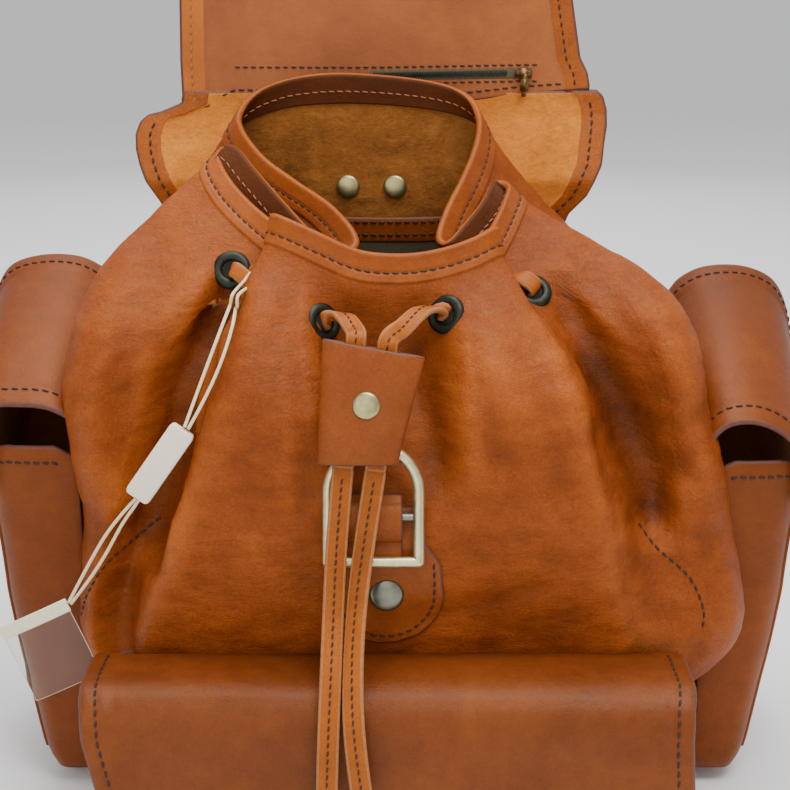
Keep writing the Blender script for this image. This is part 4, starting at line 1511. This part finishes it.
zs_ = rounded_box("zip_slider_body", lid_front_at(71.5, 357.2, 2.0), (1, 0, 0), (0, 1, 0.13), (0, 0, 1), (0.0095, 0.0030, 0.0062), M_BRONZE, "zip_slider")
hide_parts("zip_slider")
zp_ = rounded_box("zip_pull_body", lid_front_at(71.8, 351.2, 4.6), (1, 0, 0), (0, 1, 0.13), (0.06, 0, 1), (0.0046, 0.0013, 0.0125), M_BRONZE, "zip_pull")
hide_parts("zip_pull")
for dz in (-4.4, 4.4):
    stitches("zip_stitch_%d" % (dz > 0), np.array([lid_front_at(x, zc_(x) + dz, 0.1) for x in np.linspace(-90 if dz > 0 else -18, 80, 80)]), [0, -1, 0.1], M_THREAD, width=0.0010, length=0.0030, pitch=0.0044)

# ---- inside: handle rivets, inner pocket
for i_, x in enumerate((-26.0, 0.0)):
    loc, nor = hit((x * mm, 0.0, 0.298), (0, 1, 0), inner_tree)
    r_ = rivet("handle_rivet_%d" % i_, np.array([x, min(70.4, loc[1] * 1000) - 0.2, 298]) * mm, (0, -1, 0.12), 0.0066, M_BRASS, h=0.0026)
    if i_ == 0:
        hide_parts("handle_rivets")
TRM = []
for z_ in np.linspace(270.5, 283, 9):
    TRM.append([[x, 65.0 - 0.0 * x - (z_ - 271) * 0.1 + 2.5 * (abs(x + 5) / 60) ** 2 - 0.6, z_ - 2.0 * (1 - ((x + 5) / 60) ** 2)] for x in np.linspace(-64, 54, 60)])
TRM = np.array(TRM) * mm
for fl in (False, True):
    trm, TA_, TN_ = slab("inner_pocket_band", TRM, 0.0011, 0.0011, [M_STRAP, M_SUEDE_IN, M_EDGE_D], flip=fl, ridge_w=0.4)
    if TN_[4, 30, 1] < 0:
        break
    bpy.data.objects.remove(trm)
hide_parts("inner_pocket_trim")
stitches("inner_pocket_stitch", line(TA_, j=2.4)[2:-2], [0, -1, 0.1], M_THREAD)
stitches("inner_pocket_stitch_up", line(TA_, j=7.0)[2:-2], [0, -1, 0.1], M_THREAD)
IPG = []
for t in np.linspace(0, 1, 30):
    z_ = 272 - t * 120
    IPG.append([[x, np.interp(z_, [152, 271], [78.0, 64.6]) + 1.6 * math.sin(x * 0.09) * math.sin(t * 2.6) + 2.5 * (abs(x + 5) / 60) ** 2 - 0.4, z_] for x in np.linspace(-64, 54, 60)])
IPG = np.array(IPG) * mm
IPG[..., 1] = np.minimum(IPG[..., 1], 0.0775)
ipp, _, _ = slab("inner_pocket_cloth", IPG, 0.0005, 0.0005, [M_CLOTH, M_CLOTH, M_CLOTH])
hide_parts("inner_pocket_panel")

# ---- back: anchor, handle and straps
bk = lambda x, z: hit((x * mm, 0.3, z * mm), (0, -1, 0))
AG = []
for z_ in np.linspace(264, 299, 16):
    AG.append([[x, max(bk(x, z_)[0][1] * 1000 + 1.6, np.interp(z_, [264, 285, 299], [83.5, 79.5, 78.5])), z_] for x in np.linspace(-83, 73, 60)])
AG = np.array(AG) * mm
for fl in (False, True):
    an, AA_, AN_ = slab("strap_anchor_leather", AG, 0.0014, 0.0012, [M_STRAP, M_SUEDE_IN, M_EDGE_D], flip=fl, ridge_w=0.5)
    if AN_[8, 30, 1] > 0:
        break
    bpy.data.objects.remove(an)
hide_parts("strap_anchor")
for j_ in (1.6, 13.4):
    stitches("anchor_stitch_%d" % int(j_), line(AA_, j=j_)[2:-2], [0, 1, 0], M_THREAD)

hb0, hb1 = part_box("grab_handle")
hp = []
for t in np.linspace(-1, 1, 41):
    a_ = t * math.pi / 2
    hp.append([-13 + 25.5 * math.sin(a_) * (1.0 if abs(t) < 0.999 else 1.0), 88.0 + 24.6 * math.cos(a_), 279.5 + 12.0 * math.cos(a_)])
hp = np.array([[hp[0][0], 82.5, 277.0]] + hp + [[hp[-1][0], 82.5, 277.0]]) * mm
hpc = curve_pts(hp, 70)
hd = tube("grab_handle_leather", hpc, 0.0050, [M_STRAP], seg=20)
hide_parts("grab_handle")
tang = normalize(np.gradient(hpc, axis=0))
outn = normalize(np.cross(tang, [0, -0.4, 0.9]))
stitches("grab_handle_stitch", hpc[6:-6] + outn[6:-6] * 0.0050, outn[6:-6], M_THREAD)

for xs, nm in ((-68.0, "left"), (48.0, "right")):
    mid_ = np.array([(89.7, 287), (89.9, 262), (103, 238), (115.6, 214), (121.0, 188), (120.2, 163), (113, 140), (103.3, 117.5), (97.5, 99), (93.2, 82.2)])
    mp_ = curve_pts(mid_, 110)
    Gs = np.array([[[xs + w * 20.6 * (1.0 - 0.02 * abs(math.sin(i_ * 0.2))), p[0], p[1]] for w in np.linspace(-1, 1, 25)] for i_, p in enumerate(mp_)]) * mm
    uu = np.linspace(-1, 1, 25)
    tt_ = np.linspace(0, 1, 110)
    pad_ = (1 - np.abs(uu) ** 6)[None] * np.clip(np.minimum(tt_, 1 - tt_) / 0.04, 0.25, 1)[:, None]
    chan = np.exp(-((np.abs(uu) - 0.80) / 0.05) ** 2)[None] * 0.0009
    th_ = 0.0010 + 0.0023 * pad_ - chan
    sh, HA, HN = slab("shoulder_strap_%s_leather" % nm, Gs, th_, th_, [M_STRAP, M_SUEDE_IN, M_EDGE_D], ridge_w=0.5)
    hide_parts("shoulder_strap_" + nm)
    for face, sg_ in ((HA, 1), (Gs - HN * th_[..., None], -1)):
        for ii in (2.4, 21.6):
            stitches("shoulder_stitch_%s_%d_%d" % (nm, sg_ + 1, int(ii)), line(face, i=ii)[3:-3], line(HN, i=ii)[3:-3] * sg_, M_THREAD)
    d3 = np.array([0, 0.2715, 0.9624])
    n3 = np.array([0, 0.9624, -0.2715])
    c0_ = np.array([xs, 82, 20]) * mm
    AGs = np.array([[c0_ + d3 * s_ + np.array([w * 0.0118, 0, 0]) for w in np.linspace(-1, 1, 11)] for s_ in np.linspace(0.0008, 0.0995, 50)])
    ad, ADA, ADN = slab("adjusting_strap_%s" % nm, AGs, 0.0014, 0.0014, [M_STRAP, M_STRAP, M_EDGE_D], ridge_w=0.5)
    if nm == "left":
        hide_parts("adjusting_straps")
    sg_ = 1 if ADN[20, 5, 1] > 0 else -1
    P_, Q_ = along_inset(ADA if sg_ > 0 else AGs - ADN * 0.0014, ADN * sg_, 0.003)
    stitches("adjusting_stitch_" + nm, P_, Q_, M_THREAD)
    for k_ in range(4):
        lathe("adjusting_hole_%s_%d" % (nm, k_), [(0.0024, 0.0), (0.002, 0.00012), (0.0, 0.0001)], c0_ + d3 * (0.012 + 0.009 * k_) + n3 * 0.00148, n3, [M_DARK], seg=18)

# ---- base
rim_b = Mid[-1, ::4]
rim_b = np.stack([rim_b[:, 0], rim_b[:, 1], np.full(len(rim_b), 0.0013)], 1)
mid_b = np.array([0, 0, 0.0013])
BG = np.stack([mid_b + (rim_b - mid_b) * k_ for k_ in np.linspace(1.0, 0.02, 14)])
base_o, _, BN = slab("base_leather", BG, 0.0012, 0.0012, [M_POCKET, M_POCKET, M_EDGE_D], closed_u=True)
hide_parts("base_panel")

# ---- seams down the front corners of the body
def seam(name, pts_, n=160):
    P_ = curve_pts(np.array(pts_, float), n)
    A_, B_ = [], []
    for p in P_:
        l_, q = seen(*p)
        A_.append(l_); B_.append(q)
    A_, B_ = np.array(A_), np.array(B_)
    stitches(name, A_, B_, M_THREAD, width=0.0011, length=0.0034, pitch=0.0046)


SEAM_L = [(-157, -75, 107), (-152, -78, 121), (-142, -82, 138), (-128, -84, 152), (-112, -85, 165.5)]
SEAM_R = [(116.5, -85, 162.5), (126.5, -84, 149), (144, -82, 132), (153, -78, 113), (155, -72, 99)]
seam("seam_left", SEAM_L)
seam("seam_right", SEAM_R)

# ---- carried CAD metal and leather parts
KEEP = {"buckle_frame": M_PALE, "buckle_crossbar": M_GUN, "strap_buckles": M_BRASS, "strap_prong_left": M_BRASS, "strap_prong_right": M_BRASS,
        "front_pocket_snap": M_BRASS, "front_flap_snap": M_BRASS, "strap_keepers": M_STRAP, "base_tabs": M_STRAP}
for nme, mat_ in KEEP.items():
    for o in bpy.data.objects:
        if o.type == "MESH" and (o.name == nme or o.name.startswith(nme + ".") or o.name.startswith(nme + "[")):
            for i_ in range(max(len(o.material_slots), 1)):
                if len(o.material_slots) == 0:
                    o.data.materials.append(mat_)
                else:
                    o.material_slots[i_].material = mat_

# ------------------------------------------------------------------ light and floor
floor = mesh_obj("floor", [[-3, -3, -0.001], [3, -3, -0.001], [3, 3, -0.001], [-3, 3, -0.001]], [[0, 1, 2, 3]], [simple("floor_pale", lin((240, 240, 240)), rough=0.8, scale=3, vary=0.01)])
world = bpy.data.worlds.new("world")
bpy.context.scene.world = world
world.use_nodes = True
wn = world.node_tree
bg = wn.nodes["Background"]
bg.inputs["Color"].default_value = (1, 1, 1, 1)
bg.inputs["Strength"].default_value = 0.66


def area(name, loc, target, size, power):
    l = bpy.data.lights.new(name, "AREA")
    l.size = size
    l.energy = power
    o = link(bpy.data.objects.new(name, l))
    o.location = loc
    o.rotation_euler = (Vector(target) - Vector(loc)).to_track_quat("-Z", "Y").to_euler()


area("key", (0.40, -0.60, 1.60), (0, 0, 0.2), 0.7, 19)
area("fill", (-0.45, -1.5, 0.75), (0, 0, 0.2), 1.3, 9)
area("top", (-0.1, 0.25, 1.7), (0, 0, 0.2), 1.0, 24)
area("behind", (0.0, 1.6, 1.0), (0, 0, 0.3), 1.4, 6)
